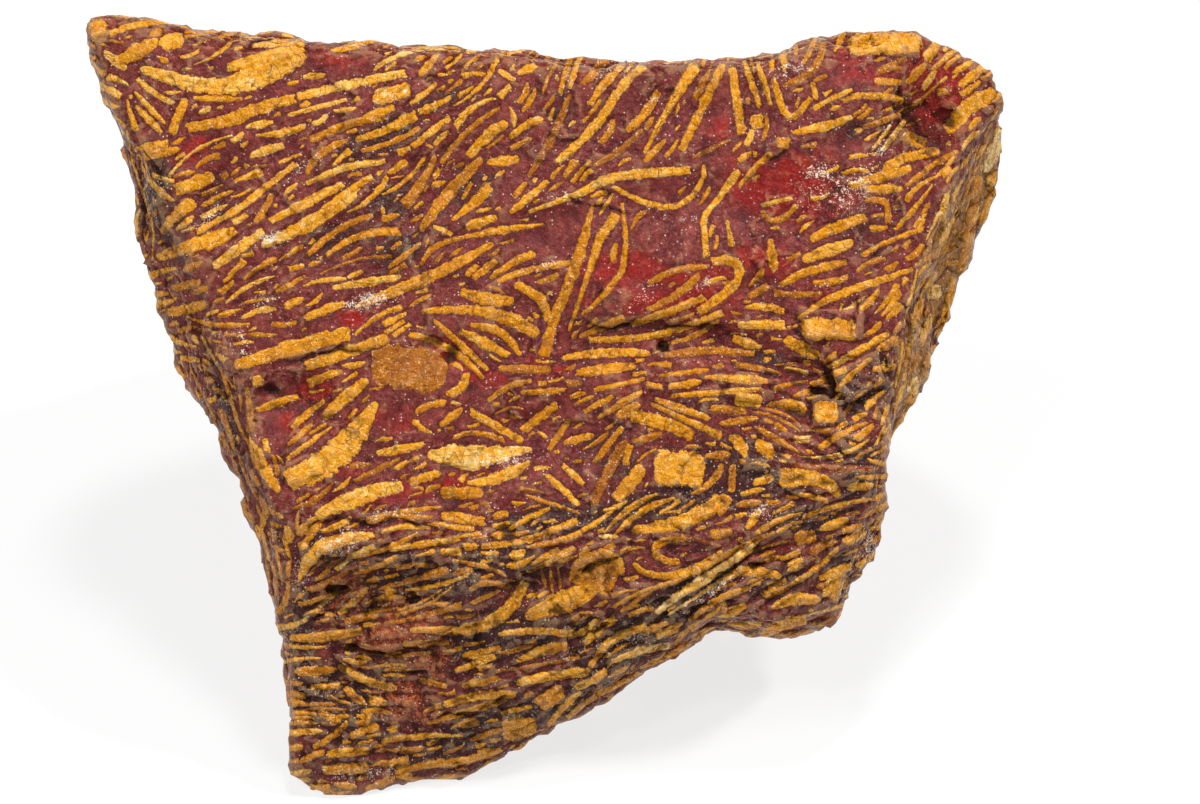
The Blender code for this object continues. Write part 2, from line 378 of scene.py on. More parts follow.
def turned_offset(places, middle, turn):
    """Places as seen from a middle, along and across a direction turned by degrees, on the photo."""
    angle = math.radians(turn)
    along = np.array([math.cos(angle), math.sin(angle)])
    across = np.array([-math.sin(angle), math.cos(angle)])
    off = places - np.array(middle, float)
    return off @ along, off @ across


def drift(waves):
    """Uneven values about 0, from waves that each have a reach, a size in mm and a seed."""
    return sum(reach * (clouds(points, size, seed) - 0.5) for reach, size, seed in waves)


relief = np.full(len(points), -SINK)
rough_share = 1 - (1 - BROAD_FACE_LUMPS) * broad
for seed, (size, height) in enumerate(LUMPS):
    relief += rough_share * height * LUMP_GAIN * (clouds(points, size, seed + 1) - 0.5)
warp = np.column_stack([clouds(points, WARP_SIZE, seed) for seed in WARP_SEEDS]) - 0.5
for seed, (size, height) in enumerate(CHIPS):
    relief += rough_share * height * chips(points + WARP_SHARE * size * warp, size, seed + 1)

# Cracks wander and fade out at their ends, and one lip of each stands higher than the other
WANDER = [(1.2, 2.4, 31), (1.1, 0.9, 32)]
SWAY = [(1.2, 1.6, 33), (1.1, 0.8, 34)]
CRACK_SHARE = 0.6
CRACK_END = 0.25
CRACK_WANDER = 9
CRACK_LIFT = 0.45
CRACK_LIFT_REACH = 26
LIFT_WIDTH = 0.4
GOUGE_WIDTH = 0.42
GOUGE_LEAST = 0.35
GOUGE_UNEVEN = 1.1
GOUGE_CLOUD = (1.5, 35)
FADED_APART = 1.2
wander = drift(WANDER)
sway = drift(SWAY)
gouge_share = GOUGE_LEAST + GOUGE_UNEVEN * clouds(points, *GOUGE_CLOUD)
crack_apart = np.full(len(points), FAR)
for depth, width, *path in CRACKS:
    along, aside, length = along_path(pixels, rounded_path(path))
    along = along + CRACK_WANDER * sway
    aside = aside + CRACK_WANDER * wander
    ends = smooth_step(0, CRACK_END * length, along) * smooth_step(length, (1 - CRACK_END) * length, along)
    crack_apart = np.minimum(crack_apart, np.abs(aside) * PIXEL + FADED_APART * (1 - ends * front))
    gouge = np.exp(-((aside / (GOUGE_WIDTH * width)) ** 2)) * gouge_share
    lift = np.tanh(aside / (LIFT_WIDTH * width)) * np.exp(-np.abs(aside) / CRACK_LIFT_REACH)
    relief -= front * (depth * CRACK_SHARE) * ends * (gouge + CRACK_LIFT * lift)

PIT_RAGGED = 0.55
PIT_FLATNESS = 1.3
PIT_RIM = (0.95, 0.15)
for x, y, width, depth in PITS:
    off = (pixels - (x, y)) / width + PIT_RAGGED * np.column_stack([wander, sway])
    relief -= front * depth * smooth_step(*PIT_RIM, np.hypot(off[:, 0], off[:, 1] * PIT_FLATNESS))

BLOCK_RAGGED = 7
BLOCK_EDGE = 3.5
for x, y, half_length, half_width, turn, height in BLOCKS:
    along, across = turned_offset(pixels, (x, y), turn)
    over_end = np.abs(along + BLOCK_RAGGED * sway) - half_length
    over_side = np.abs(across + BLOCK_RAGGED * wander) - half_width
    relief += front * height * smooth_step(BLOCK_EDGE, -BLOCK_EDGE, np.maximum(over_end, over_side))

# Beds of the stone: each rises slowly and then falls off as a step
BED_RISE = 0.75
LAYER_STEP = 0.95
LAYER_FADE = (1.25, 0.6)
LAYER_SWAY = 1.6
LAYER_CLOUD = (3.5, 41)


def beds(level):
    """Heights about 0 of beds, one for each whole number of the level."""
    part = level - np.floor(level)
    return np.minimum(part / BED_RISE, (1 - part) / (1 - BED_RISE)) - 0.5


layer_sway = LAYER_SWAY * clouds(points, *LAYER_CLOUD)
for x, y, reach_x, reach_y, turn, height in LAYERED:
    along, across = turned_offset(pixels, (x, y), turn)
    share = smooth_step(*LAYER_FADE, np.hypot(along / reach_x, across / reach_y))
    relief += front * share * height * beds(across * PIXEL / LAYER_STEP + layer_sway)

for x, y, reach_x, reach_y, depth in TRIMS:
    off = (pixels - (x, y)) / (reach_x, reach_y)
    relief -= depth * np.exp(-np.sum(off**2, axis=1))

# The sides that the photo doesn't show have beds too, tilted by 20 degrees, in some places only
BED_TILT = math.radians(20)
BED_LEAN = 0.3
BED_STEP = 1.3
BED_HEIGHT = 0.16
BED_PLACES = (0.45, 0.7)
BED_CLOUD = (7, 53)
BED_SWAY = [(2.2, 6, 51), (0.5, 2, 52)]
bedding = -math.sin(BED_TILT) * RIGHT + math.cos(BED_TILT) * UP + BED_LEAN * OUT
bedding /= np.linalg.norm(bedding)
level = points @ bedding / BED_STEP
for reach, size, seed in BED_SWAY:
    level += reach * clouds(points, size, seed)
bed_share = smooth_step(*BED_PLACES, clouds(points, *BED_CLOUD))
relief += (1 - front) * bed_share * BED_HEIGHT * beds(level)


def raised(places, heights):
    """Places moved out along their normals, and those just over the floor set down on it."""
    moved = places + normals * heights[:, None]
    moved[:, 2] = np.where(moved[:, 2] < FOOT_SNAP, 0, moved[:, 2])
    return moved


points = raised(points, relief * foot)
write_skin(points)
for polygon in skin.polygons:
    polygon.use_smooth = True

# How deep each point lies below the ground round it: edges are sharpened by it, and from it the material
# paints shade into the hollows and a highlight onto the ridges
HOLLOW_REACHES = (4, 14)
HELD_SHARE = 0.3
SHARPEN = 0.6
SHARPEN_MOST = 0.3
edge_ends = np.empty(len(skin.edges) * 2, int)
skin.edges.foreach_get("vertices", edge_ends)
edge_ends = edge_ends.reshape(-1, 2)
edge_count = np.bincount(edge_ends.ravel(), minlength=len(points))
normals = read_skin("normal")
smoothed = points.copy()
hollows = []
for reach in range(1, HOLLOW_REACHES[-1] + 1):
    total = np.zeros_like(points)
    for axis in range(3):
        total[:, axis] += np.bincount(edge_ends[:, 0], smoothed[edge_ends[:, 1], axis], len(points))
        total[:, axis] += np.bincount(edge_ends[:, 1], smoothed[edge_ends[:, 0], axis], len(points))
    smoothed = HELD_SHARE * smoothed + (1 - HELD_SHARE) * total / edge_count[:, None]
    if reach in HOLLOW_REACHES:
        hollows.append(dots(smoothed - points, normals))
points = raised(points, np.clip(-SHARPEN * hollows[-1], -SHARPEN_MOST, SHARPEN_MOST) * foot)
write_skin(points)
store("hollow", np.column_stack([*hollows, crack_apart]))

# The golden plates
# Curved tan plates up to 8 mm long that lie in the maroon ground, cut through by the broken faces.
# Each is a line along its middle with a width. Those of the broad face that can be told apart in the
# photo are at their own places, and small ones are strewn between them and over all other sides.
RUST, DULL, OCHRE, GOLD, PALE = 0.0, 0.25, 0.5, 0.66, 0.84

# Each row: width or widths along the plate in pixels, tone, then its path in photo pixels
TOP_LEFT_PLATES = [
    ((8, 17, 24, 20), GOLD, (229, 80), (255, 72), (281, 62), (303, 54)),
    ((4, 8, 5), GOLD, (250, 47), (277, 43), (306, 42)),
    (9, GOLD, (104, 52), (118, 62), (126, 70)),
    (16, OCHRE, (119, 61), (158, 41)),
    (16, GOLD, (140, 68), (188, 84), (236, 88), (277, 74), (300, 61)),
    (12, GOLD, (227, 68), (274, 55), (305, 48)),
    (6, GOLD, (135, 92), (165, 124)),
    (7, GOLD, (135, 105), (162, 133)),
    (9, GOLD, (186, 98), (171, 134)),
    (6, OCHRE, (193, 98), (242, 99)),
    (12, GOLD, (186, 128), (226, 122), (264, 106), (295, 98)),
    (9, GOLD, (297, 97), (356, 83), (407, 73)),
    (7, GOLD, (302, 77), (325, 75)),
    (5, GOLD, (286, 116), (348, 99)),
    (9, GOLD, (363, 118), (395, 107)),
    ((7, 10, 9), OCHRE, (134, 150), (170, 143)),
    (9, OCHRE, (136, 158), (181, 149)),
    (8, GOLD, (245, 127), (274, 122)),
    (9, GOLD, (249, 156), (284, 145)),
    (14, GOLD, (175, 191), (213, 176)),
    (7, GOLD, (195, 233), (239, 209), (264, 189), (297, 163)),
    (7, GOLD, (305, 184), (346, 166), (387, 161)),
    (10, GOLD, (269, 222), (343, 184)),
    (14, GOLD, (261, 246), (315, 222), (357, 193)),
    (10, GOLD, (213, 267), (264, 231)),
    (14, GOLD, (157, 258), (203, 242), (236, 230)),
    (7, OCHRE, (273, 194), (255, 224)),
    (7, GOLD, (412, 147), (450, 117)),
    (8, OCHRE, (310, 140), (352, 122), (385, 117)),
    (8, GOLD, (322, 210), (372, 176)),
]
TOP_MIDDLE_PLATES = [
    (9, GOLD, (556, 163), (596, 128), (624, 82), (645, 65)),
    (8, GOLD, (589, 105), (604, 84), (624, 64)),
    (8, DULL, (529, 176), (553, 138), (570, 94)),
    ((4, 7, 14), GOLD, (644, 153), (670, 105), (696, 65)),
    (9, GOLD, (681, 150), (701, 110), (723, 64)),
    (9, GOLD, (732, 66), (742, 135)),
    (6, GOLD, (744, 61), (760, 107)),
    (6, GOLD, (757, 60), (771, 105)),
    (7, GOLD, (773, 77), (781, 107), (792, 121), (811, 98)),
    (11, GOLD, (469, 156), (484, 138), (506, 122)),
    (10, GOLD, (488, 162), (520, 159)),
    (12, OCHRE, (420, 231), (451, 189), (482, 158)),
    (8, GOLD, (510, 213), (548, 181)),
    ((4, 8, 10, 9), GOLD, (529, 212), (589, 190), (609, 176), (691, 170)),
    (6, GOLD, (612, 186), (637, 200), (665, 209), (688, 202), (704, 179), (704, 166)),
    ((4, 8, 3), GOLD, (464, 237), (502, 230), (543, 224)),
    (6, OCHRE, (420, 265), (433, 245), (464, 237)),
    (9, GOLD, (464, 228), (497, 217)),
    ((9, 6, 7), GOLD, (739, 171), (716, 202), (704, 214), (704, 237), (707, 258)),
    ((3, 7), GOLD, (727, 219), (732, 247)),
    (7, DULL, (594, 166), (624, 148), (642, 130)),
    (7, OCHRE, (644, 162), (665, 140)),
    (5, DULL, (691, 159), (729, 140)),
    (5, OCHRE, (762, 143), (768, 125), (766, 115)),
]
TOP_RIGHT_PLATES = [
    (8, DULL, (824, 42), (817, 71), (784, 86)),
    (5, GOLD, (814, 109), (832, 98), (851, 90)),
    (7, GOLD, (843, 101), (862, 94), (905, 99)),
    (9, GOLD, (794, 133), (824, 126), (853, 117)),
    (7, OCHRE, (874, 81), (900, 83)),
    (8, OCHRE, (906, 84), (927, 63)),
    (7, GOLD, (922, 91), (935, 71)),
    (7, GOLD, (953, 73), (973, 61)),
    (9, GOLD, (959, 86), (985, 66)),
    (16, GOLD, (947, 132), (966, 107), (996, 92)),
    (4, OCHRE, (983, 138), (998, 107)),
    (10, GOLD, (883, 168), (906, 157), (939, 151)),
    (10, GOLD, (849, 186), (883, 176), (912, 168)),
    (6, OCHRE, (906, 186), (931, 166), (958, 151)),
    (9, GOLD, (864, 189), (903, 189)),
    (6, PALE, (882, 151), (905, 120)),
    (4, PALE, (872, 150), (892, 124)),
]
CENTRE_PLATES = [
    ((14, 11, 10, 12, 10, 3), GOLD, (544, 356), (553, 320), (568, 287), (581, 251), (590, 215), (593, 203)),
    ((3, 5, 6, 10, 10), GOLD, (568, 333), (579, 302), (591, 266), (599, 238), (617, 215)),
    (6, GOLD, (622, 203), (626, 238), (624, 269), (614, 282), (594, 307), (582, 314)),
    (12, GOLD, (355, 307), (406, 287), (457, 264), (494, 243)),
    (8, PALE, (332, 288), (401, 277)),
    (6, OCHRE, (388, 268), (421, 243)),
    (7, GOLD, (498, 282), (522, 271), (571, 262)),
    (7, GOLD, (473, 279), (496, 260)),
    (10, GOLD, (515, 284), (543, 298), (548, 320)),
    (12, GOLD, (460, 292), (484, 299), (514, 302)),
    ((6, 8, 11, 14, 12), GOLD, (420, 312), (464, 308), (502, 315), (522, 325), (538, 335)),
    (7, GOLD, (434, 320), (488, 370)),
    (10, GOLD, (459, 330), (510, 356)),
    (9, GOLD, (471, 325), (502, 330), (521, 356)),
    (8, OCHRE, (498, 368), (552, 370)),
    (8, GOLD, (631, 325), (668, 312), (705, 297)),
    (7, GOLD, (589, 340), (630, 339), (670, 333), (724, 312)),
    (5, GOLD, (670, 343), (693, 338), (719, 320)),
    (9, GOLD, (563, 358), (604, 352), (650, 353)),
    (9, OCHRE, (663, 356), (706, 349), (755, 354)),
    (11, GOLD, (576, 373), (635, 366)),
    (6, OCHRE, (658, 376), (709, 370)),
    ((4, 9, 7), GOLD, (704, 377), (767, 381)),
    (8, GOLD, (668, 387), (701, 382)),
    (6, GOLD, (670, 396), (762, 389)),
    (7, GOLD, (655, 399), (711, 419)),
    (5, GOLD, (594, 390), (645, 379)),
    (6, GOLD, (520, 393), (566, 390)),
    (6, OCHRE, (487, 402), (510, 384), (533, 381)),
    (9, GOLD, (522, 431), (558, 404)),
    (8, GOLD, (471, 412), (522, 441)),
    (7, GOLD, (599, 417), (642, 391)),
    (6, GOLD, (584, 412), (614, 396)),
    (11, GOLD, (617, 417), (640, 404)),
    (13, GOLD, (630, 416), (663, 421), (694, 437)),
    (8, GOLD, (720, 424), (757, 418)),
    (7, GOLD, (594, 463), (622, 427)),
    (7, OCHRE, (548, 451), (570, 419)),
    (8, GOLD, (563, 443), (595, 435)),
    (7, OCHRE, (647, 284), (675, 269), (709, 266)),
    (9, GOLD, (711, 261), (734, 259), (742, 274), (727, 294), (698, 312)),
]
RIGHT_PLATES = [
    ((7, 11), GOLD, (738, 325), (785, 325)),
    (9, GOLD, (733, 338), (761, 348)),
    (9, GOLD, (770, 238), (775, 273)),
    (6, OCHRE, (762, 210), (769, 221), (785, 219), (796, 205)),
    (5, PALE, (761, 205), (792, 198)),
    (11, GOLD, (810, 240), (838, 226), (868, 217)),
    (12, GOLD, (803, 260), (826, 251), (854, 242)),
    (9, GOLD, (781, 285), (803, 272), (847, 262)),
    (7, OCHRE, (865, 200), (888, 200), (888, 223)),
    (5, OCHRE, (861, 256), (890, 240), (925, 228)),
    (8, GOLD, (799, 318), (819, 304), (845, 292), (884, 279), (913, 269)),
    (12, GOLD, (783, 338), (819, 357)),
    (8, GOLD, (829, 368), (888, 334)),
    (10, OCHRE, (878, 350), (900, 338)),
    (8, GOLD, (872, 370), (897, 366)),
]
FLANK_PLATES = [
    ((2, 3, 2), PALE, (950, 190), (940, 212), (926, 240)),
    ((2, 4, 3), 0.74, (917, 270), (912, 292), (905, 315)),
    ((3, 4, 2), 0.74, (902, 338), (900, 362), (895, 388)),
    ((2, 3, 2), OCHRE, (980, 160), (969, 184), (962, 205)),
    ((8, 13, 10), PALE, (1000, 128), (995, 150), (984, 172)),
    ((9, 13, 9), OCHRE, (979, 176), (971, 212), (967, 246), (960, 276)),
    (8, PALE, (947, 194), (941, 222)),
    (7, OCHRE, (957, 244), (942, 250), (925, 261)),
    (6, OCHRE, (960, 262), (944, 264)),
    (13, PALE, (937, 284), (931, 300)),
    (10, GOLD, (922, 297), (912, 328)),
    (9, OCHRE, (953, 277), (947, 310), (936, 338)),
    (8, GOLD, (932, 313), (920, 346)),
    (9, OCHRE, (936, 345), (925, 368)),
    (11, PALE, (917, 378), (910, 394)),
    ((7, 11, 9), OCHRE, (917, 396), (903, 422), (889, 442)),
    (7, GOLD, (901, 388), (895, 413)),
    (7, OCHRE, (909, 342), (905, 366)),
    (6, PALE, (977, 206), (970, 236)),
]
LEFT_PLATES = [
    (9, OCHRE, (171, 288), (202, 282)),
    ((2, 3, 2), 0.72, (127, 130), (133, 165), (147, 202), (155, 235), (152, 260)),
    (11, GOLD, (205, 248), (235, 230)),
    (10, GOLD, (168, 313), (206, 304)),
    (6, OCHRE, (178, 331), (196, 327)),
    (6, OCHRE, (194, 293), (208, 287)),
    (6, GOLD, (180, 358), (198, 360)),
    (6, OCHRE, (205, 378), (214, 382)),
    (6, GOLD, (206, 402), (218, 397)),
    ((3, 4, 4, 3), OCHRE, (220, 366), (232, 400), (240, 430), (251, 446)),
    (3, PALE, (202, 336), (210, 352), (218, 366)),
    (3, OCHRE, (190, 366), (204, 396), (216, 420)),
    ((6, 14, 12, 7), GOLD, (249, 438), (257, 456), (268, 476), (280, 492)),
    (3, OCHRE, (222, 432), (236, 466), (248, 500)),
    (4, OCHRE, (214, 420), (226, 448)),
    (5, GOLD, (270, 522), (281, 527)),
    (4, OCHRE, (257, 505), (261, 515)),
    (4, GOLD, (262, 530), (270, 562)),
    (4, OCHRE, (272, 560), (279, 600)),
    (3, OCHRE, (276, 545), (283, 585)),
    (5, OCHRE, (272, 545), (284, 552)),
    ((12, 16, 15), GOLD, (235, 366), (279, 351), (350, 333)),
    (12, GOLD, (304, 367), (350, 351), (388, 338)),
    (9, GOLD, (302, 319), (347, 302)),
    (8, GOLD, (256, 410), (299, 396)),
    (12, GOLD, (324, 419), (337, 404), (368, 379)),
    (9, GOLD, (467, 373), (462, 389), (447, 394)),
    ((22, 28, 26, 8), GOLD, (287, 482), (322, 467), (353, 439), (376, 403)),
    ((3, 11, 14, 6), GOLD, (466, 483), (486, 482), (510, 474), (530, 462)),
    ((10, 16, 18, 16, 11), 0.74, (316, 516), (338, 505), (360, 496), (382, 490), (403, 486)),
    (9, GOLD, (410, 482), (426, 478), (440, 473)),
    ((10, 22, 26, 20, 12, 5), 0.78, (427, 454), (445, 456), (470, 458), (495, 455), (515, 451), (532, 449)),
    (9, GOLD, (376, 454), (424, 444)),
    (6, DULL, (353, 482), (399, 459)),
    (8, OCHRE, (440, 426), (463, 408)),
]
LOWER_PLATES = [
    (15, GOLD, (615, 500), (643, 467)),
    (11, DULL, (592, 505), (607, 474), (625, 441)),
    (7, GOLD, (625, 467), (630, 444)),
    (7, GOLD, (546, 474), (579, 505)),
    (6, GOLD, (562, 464), (584, 485)),
    (4, OCHRE, (525, 495), (579, 513)),
    (12, GOLD, (731, 434), (747, 454)),
    (14, GOLD, (757, 440), (773, 457)),
    (8, OCHRE, (733, 465), (731, 493)),
    (8, GOLD, (753, 484), (773, 477)),
    (8, GOLD, (747, 528), (760, 510)),
    (9, GOLD, (847, 488), (874, 485)),
    ((22, 18, 12, 10), GOLD, (780, 479), (806, 477), (829, 482), (839, 497)),
    (7, RUST, (791, 464), (826, 469), (875, 469)),
    ((9, 13, 16, 18), GOLD, (631, 531), (662, 527), (694, 519), (708, 509), (723, 498)),
    (8, OCHRE, (690, 537), (662, 540), (653, 550), (662, 561), (680, 562)),
    (5, RUST, (664, 533), (700, 540), (724, 548)),
    (8, GOLD, (633, 563), (645, 574), (670, 577), (695, 569), (722, 551)),
    ((4, 6, 5), GOLD, (613, 607), (638, 592), (672, 583), (702, 570), (728, 553), (752, 541), (775, 532)),
    ((6, 10, 11, 5), PALE, (656, 613), (682, 592), (709, 577), (736, 559), (757, 541)),
    (4, PALE, (668, 615), (692, 600), (718, 582), (742, 566)),
    (4, OCHRE, (740, 557), (766, 546), (790, 541)),
    (11, GOLD, (722, 579), (745, 569), (781, 576)),
    (7, GOLD, (689, 620), (718, 598), (750, 587)),
    (9, GOLD, (719, 620), (747, 604)),
    (12, GOLD, (773, 607), (793, 598), (821, 600)),
    (11, GOLD, (760, 636), (781, 624), (807, 620)),
    (9, GOLD, (820, 578), (852, 565)),
    (7, OCHRE, (817, 588), (843, 578)),
    (6, GOLD, (790, 585), (815, 570), (838, 548)),
    ((6, 13, 16, 12, 7), 0.80, (299, 580), (309, 558), (326, 544), (350, 538), (375, 535)),
    (6, PALE, (336, 570), (354, 554), (376, 546)),
    (6, 0.76, (380, 532), (404, 526), (430, 528)),
    ((5, 7, 7), 0.76, (390, 550), (410, 546), (440, 542), (462, 538)),
    (6, PALE, (318, 608), (328, 598), (335, 594)),
    (4, 0.76, (320, 612), (337, 616)),
    (7, 0.76, (338, 614), (354, 602), (368, 588)),
    (8, OCHRE, (342, 622), (360, 618), (379, 616)),
    (7, OCHRE, (470, 590), (482, 582), (510, 586)),
    (6, GOLD, (508, 530), (528, 518), (550, 508)),
    (7, OCHRE, (556, 558), (574, 548)),
    (4, OCHRE, (541, 568), (546, 589)),
    (4, OCHRE, (550, 568), (553, 592)),
    (3, OCHRE, (558, 568), (560, 590)),
    (10, GOLD, (442, 516), (462, 518), (486, 522)),
    (7, GOLD, (482, 546), (510, 544), (536, 538), (558, 528), (579, 520)),
    (6, OCHRE, (528, 547), (550, 543), (570, 538), (583, 534)),
    (5, GOLD, (560, 540), (590, 528), (611, 512)),
    (9, GOLD, (584, 644), (598, 630), (616, 617)),
    (8, GOLD, (600, 550), (620, 559), (622, 575)),
    ((6, 9, 8), GOLD, (590, 668), (600, 650), (618, 634), (648, 626)),
    ((5, 9, 6), PALE, (613, 661), (640, 650), (671, 645)),
    (7, OCHRE, (640, 634), (668, 622)),
    (6, GOLD, (560, 636), (582, 633), (594, 621)),
    (5, OCHRE, (628, 605), (652, 592)),
    (6, GOLD, (640, 668), (676, 652), (700, 636)),
    (8, OCHRE, (709, 408), (745, 411)),
]
BOTTOM_PLATES = [
    ((6, 9, 11, 14, 15, 12), GOLD, (410, 630), (440, 630), (462, 631), (488, 624), (509, 609),
      (519, 594), (525, 582)),
    (7, GOLD, (455, 671), (475, 664), (495, 657)),
    (7, GOLD, (314, 747), (335, 735), (348, 722)),
    (8, OCHRE, (366, 790), (396, 777)),
    (5, OCHRE, (362, 652), (396, 656), (432, 652)),
    (6, OCHRE, (420, 680), (446, 686)),
    (5, GOLD, (500, 713), (532, 706)),
    (6, OCHRE, (470, 740), (505, 728)),
    (5, GOLD, (405, 590), (440, 586), (470, 574)),
    (5, GOLD, (300, 604), (330, 596), (352, 586)),
    (5, OCHRE, (470, 604), (500, 590)),
    (5, OCHRE, (452, 560), (486, 566), (506, 576)),
    (22, GOLD, (526, 617), (571, 599), (599, 587)),
    (8, GOLD, (498, 634), (546, 629), (579, 637), (600, 616)),
    ((6, 11, 10), GOLD, (518, 661), (539, 651), (567, 645)),
    (10, GOLD, (516, 683), (547, 676), (589, 671)),
    (8, GOLD, (461, 686), (485, 681), (502, 677)),
    (7, OCHRE, (403, 644), (449, 642)),
    ((7, 11, 8), GOLD, (290, 638), (325, 637), (362, 631)),
    (10, OCHRE, (294, 672), (337, 670)),
    (9, GOLD, (338, 665), (368, 682), (396, 688)),
    (7, GOLD, (310, 688), (340, 685)),
    (9, OCHRE, (345, 688), (365, 705)),
    (8, GOLD, (319, 712), (340, 721)),
    (8, GOLD, (350, 736), (378, 726)),
    (9, GOLD, (327, 754), (370, 750)),
    (10, GOLD, (322, 770), (368, 767)),
    (7, OCHRE, (299, 762), (324, 751)),
    (7, OCHRE, (334, 784), (357, 787)),
    (6, GOLD, (547, 727), (563, 706), (582, 691)),
    (6, GOLD, (566, 718), (592, 697), (620, 684), (640, 672)),
    ((6, 9, 8, 7), GOLD, (396, 772), (427, 764), (451, 763), (485, 756), (503, 748)),
    (9, GOLD, (445, 705), (471, 695), (516, 694)),
    (8, GOLD, (441, 719), (465, 712), (506, 699)),
]
# Each row: length, width, turn in degrees, rounding, tone and middle of a lump, in photo pixels
LUMP_PLATES = [
    (20, 18, 0, 0.8, OCHRE, (98, 28)),
    (25, 16, -20, 0.7, GOLD, (172, 42)),
    (38, 16, -15, 0.6, 0.74, (392, 94)),
    (15, 13, 70, 0.6, GOLD, (757, 121)),
    (15, 11, 10, 0.3, OCHRE, (784, 143)),
    (75, 22, -2, 0.9, GOLD, (885, 44)),
    (10, 9, 0, 0.8, OCHRE, (943, 92)),
    (28, 12, 20, 0.5, OCHRE, (914, 140)),
    (55, 22, 3, 0.4, 0.58, (829, 329)),
    (24, 22, 10, 0.5, 0.58, (826, 412)),
    (77, 43, 10, 0.8, 0.3, (409, 368)),
    (12, 11, 0, 0.8, GOLD, (258, 382)),
    (44, 13, 0, 0.9, OCHRE, (462, 493)),
    (50, 36, 6, 0.45, GOLD, (679, 469)),
    (46, 38, 24, 0.25, 0.4, (595, 572)),
    (25, 14, 5, 0.5, GOLD, (748, 400)),
    (35, 20, -10, 0.6, GOLD, (519, 728)),
    (28, 16, -30, 0.4, OCHRE, (550, 698)),
    (30, 20, -60, 0.3, GOLD, (835, 585)),
    (22, 13, -10, 0.4, OCHRE, (805, 537)),
    (22, 14, -60, 0.5, OCHRE, (722, 505)),
]
# Plain ground of the broad face, where few small plates lie: middle and radius in photo pixels
PLAIN_GROUND = [
    (655, 190, 26), (600, 150, 22), (620, 125, 20), (665, 75, 18), (708, 130, 26), (720, 95, 18),
    (725, 165, 22), (740, 205, 26), (745, 240, 26), (675, 240, 34), (650, 255, 30), (610, 240, 16),
    (600, 290, 26), (640, 300, 28), (570, 225, 24), (545, 245, 18), (520, 250, 14), (335, 320, 22),
    (360, 315, 16), (300, 385, 28), (320, 400, 16), (285, 435, 18), (400, 415, 22), (440, 320, 16),
    (480, 385, 20), (395, 300, 10), (330, 60, 26), (370, 60, 16), (575, 300, 12), (535, 400, 16),
    (605, 385, 14), (790, 175, 30), (830, 200, 26), (840, 150, 24), (860, 70, 18), (930, 110, 20),
    (845, 75, 22), (640, 98, 16), (575, 100, 12), (500, 190, 14), (450, 290, 12), (560, 130, 14),
    (690, 255, 22), (640, 400, 8), (660, 560, 16), (700, 545, 14), (755, 605, 18), (690, 600, 10),
    (500, 500, 10), (330, 650, 14), (440, 660, 24), (410, 700, 26), (395, 640, 22), (520, 350, 8),
    (565, 345, 8), (790, 240, 14),
]
# Directions of the small plates where no plate of the lists says it: place in pixels, degrees up to the right
FLOW = [
    (145, 190, -68), (130, 130, -68), (185, 270, 14), (190, 320, 10), (205, 370, -64), (222, 420, -66),
    (240, 470, -66), (256, 520, -70), (270, 570, -72), (281, 620, -76), (165, 235, 30), (200, 345, -60),
    (965, 220, 68), (945, 290, 72), (920, 360, 75), (900, 430, 78), (985, 160, 65), (870, 500, 30),
    (860, 560, 40), (830, 610, 35), (780, 630, 20), (640, 660, 30), (560, 710, 28), (480, 750, 18),
    (420, 590, 5), (360, 600, 8), (360, 770, 5), (300, 720, 8), (450, 60, 20), (540, 70, 30), (300, 260, 28),
    (480, 600, 10), (560, 560, 15), (740, 500, 10), (850, 430, 10), (870, 310, 25), (900, 230, 30),
    (230, 320, 20),
]
SLOTS = 3
HAND_FACING = 0.22
SEEN_FACING = 0.05
RAY_START = 0.3

corners = np.empty(len(skin.polygons) * 3, int)
skin.polygons.foreach_get("vertices", corners)
corners = corners.reshape(-1, 3)
corner_points = points[corners]
face_middles = corner_points.mean(axis=1)
face_normals = np.cross(corner_points[:, 1] - corner_points[:, 0], corner_points[:, 2] - corner_points[:, 0])
face_areas = np.linalg.norm(face_normals, axis=1) / 2
face_normals /= np.maximum(2 * face_areas, 1e-12)[:, None]
corner_pixels = photo_place(corner_points)
middle_pixels = photo_place(face_middles)
sight = units(EYE - face_middles)
face_facing = dots(face_normals, sight)
tree = BVHTree.FromPolygons([Vector(p) for p in points], corners.tolist())
seen = np.zeros(len(corners), bool)
for n in np.flatnonzero(face_facing > SEEN_FACING):
    start = face_middles[n] + RAY_START * face_normals[n]
    seen[n] = tree.ray_cast(Vector(start), Vector(sight[n]))[0] is None
by_hand = seen & (face_facing > HAND_FACING)

plate_apart = np.full((len(corners), SLOTS), FAR)
plate_place = np.zeros((len(corners), SLOTS, 3, 3), np.float32)
plate_form = np.zeros((len(corners), SLOTS, 3, 3), np.float32)
plate_place[..., 0] = FAR


def plate_edge(along, aside, half_length, half_width, rounding):
    """How far a place is outside the edge of a plate, less than 0 inside it."""
    curve = half_width * rounding
    over_end = np.abs(along) - half_length + curve
    over_side = np.abs(aside) - half_width + curve
    outside = np.hypot(np.maximum(over_end, 0), np.maximum(over_side, 0))
    return outside + np.minimum(np.maximum(over_end, over_side), 0) - curve


def lay_plate(faces, along, aside, half_length, half_width, rounding, tone, edge):
    """Writes a plate on the faces that it is near, in place of the furthest plate written there."""
    slot = np.argmax(plate_apart[faces], axis=1)
    nearer = edge < plate_apart[faces, slot]
    faces, slot = faces[nearer], slot[nearer]
    plate_apart[faces, slot] = edge[nearer]
    plate_place[faces, slot, :, 0] = along[nearer]
    plate_place[faces, slot, :, 1] = aside[nearer]
    plate_place[faces, slot, :, 2] = tone
    plate_form[faces, slot] = (half_length, half_width, rounding)


hand_faces = np.flatnonzero(by_hand)
hand_pixels = middle_pixels[hand_faces]
MARGIN = 14


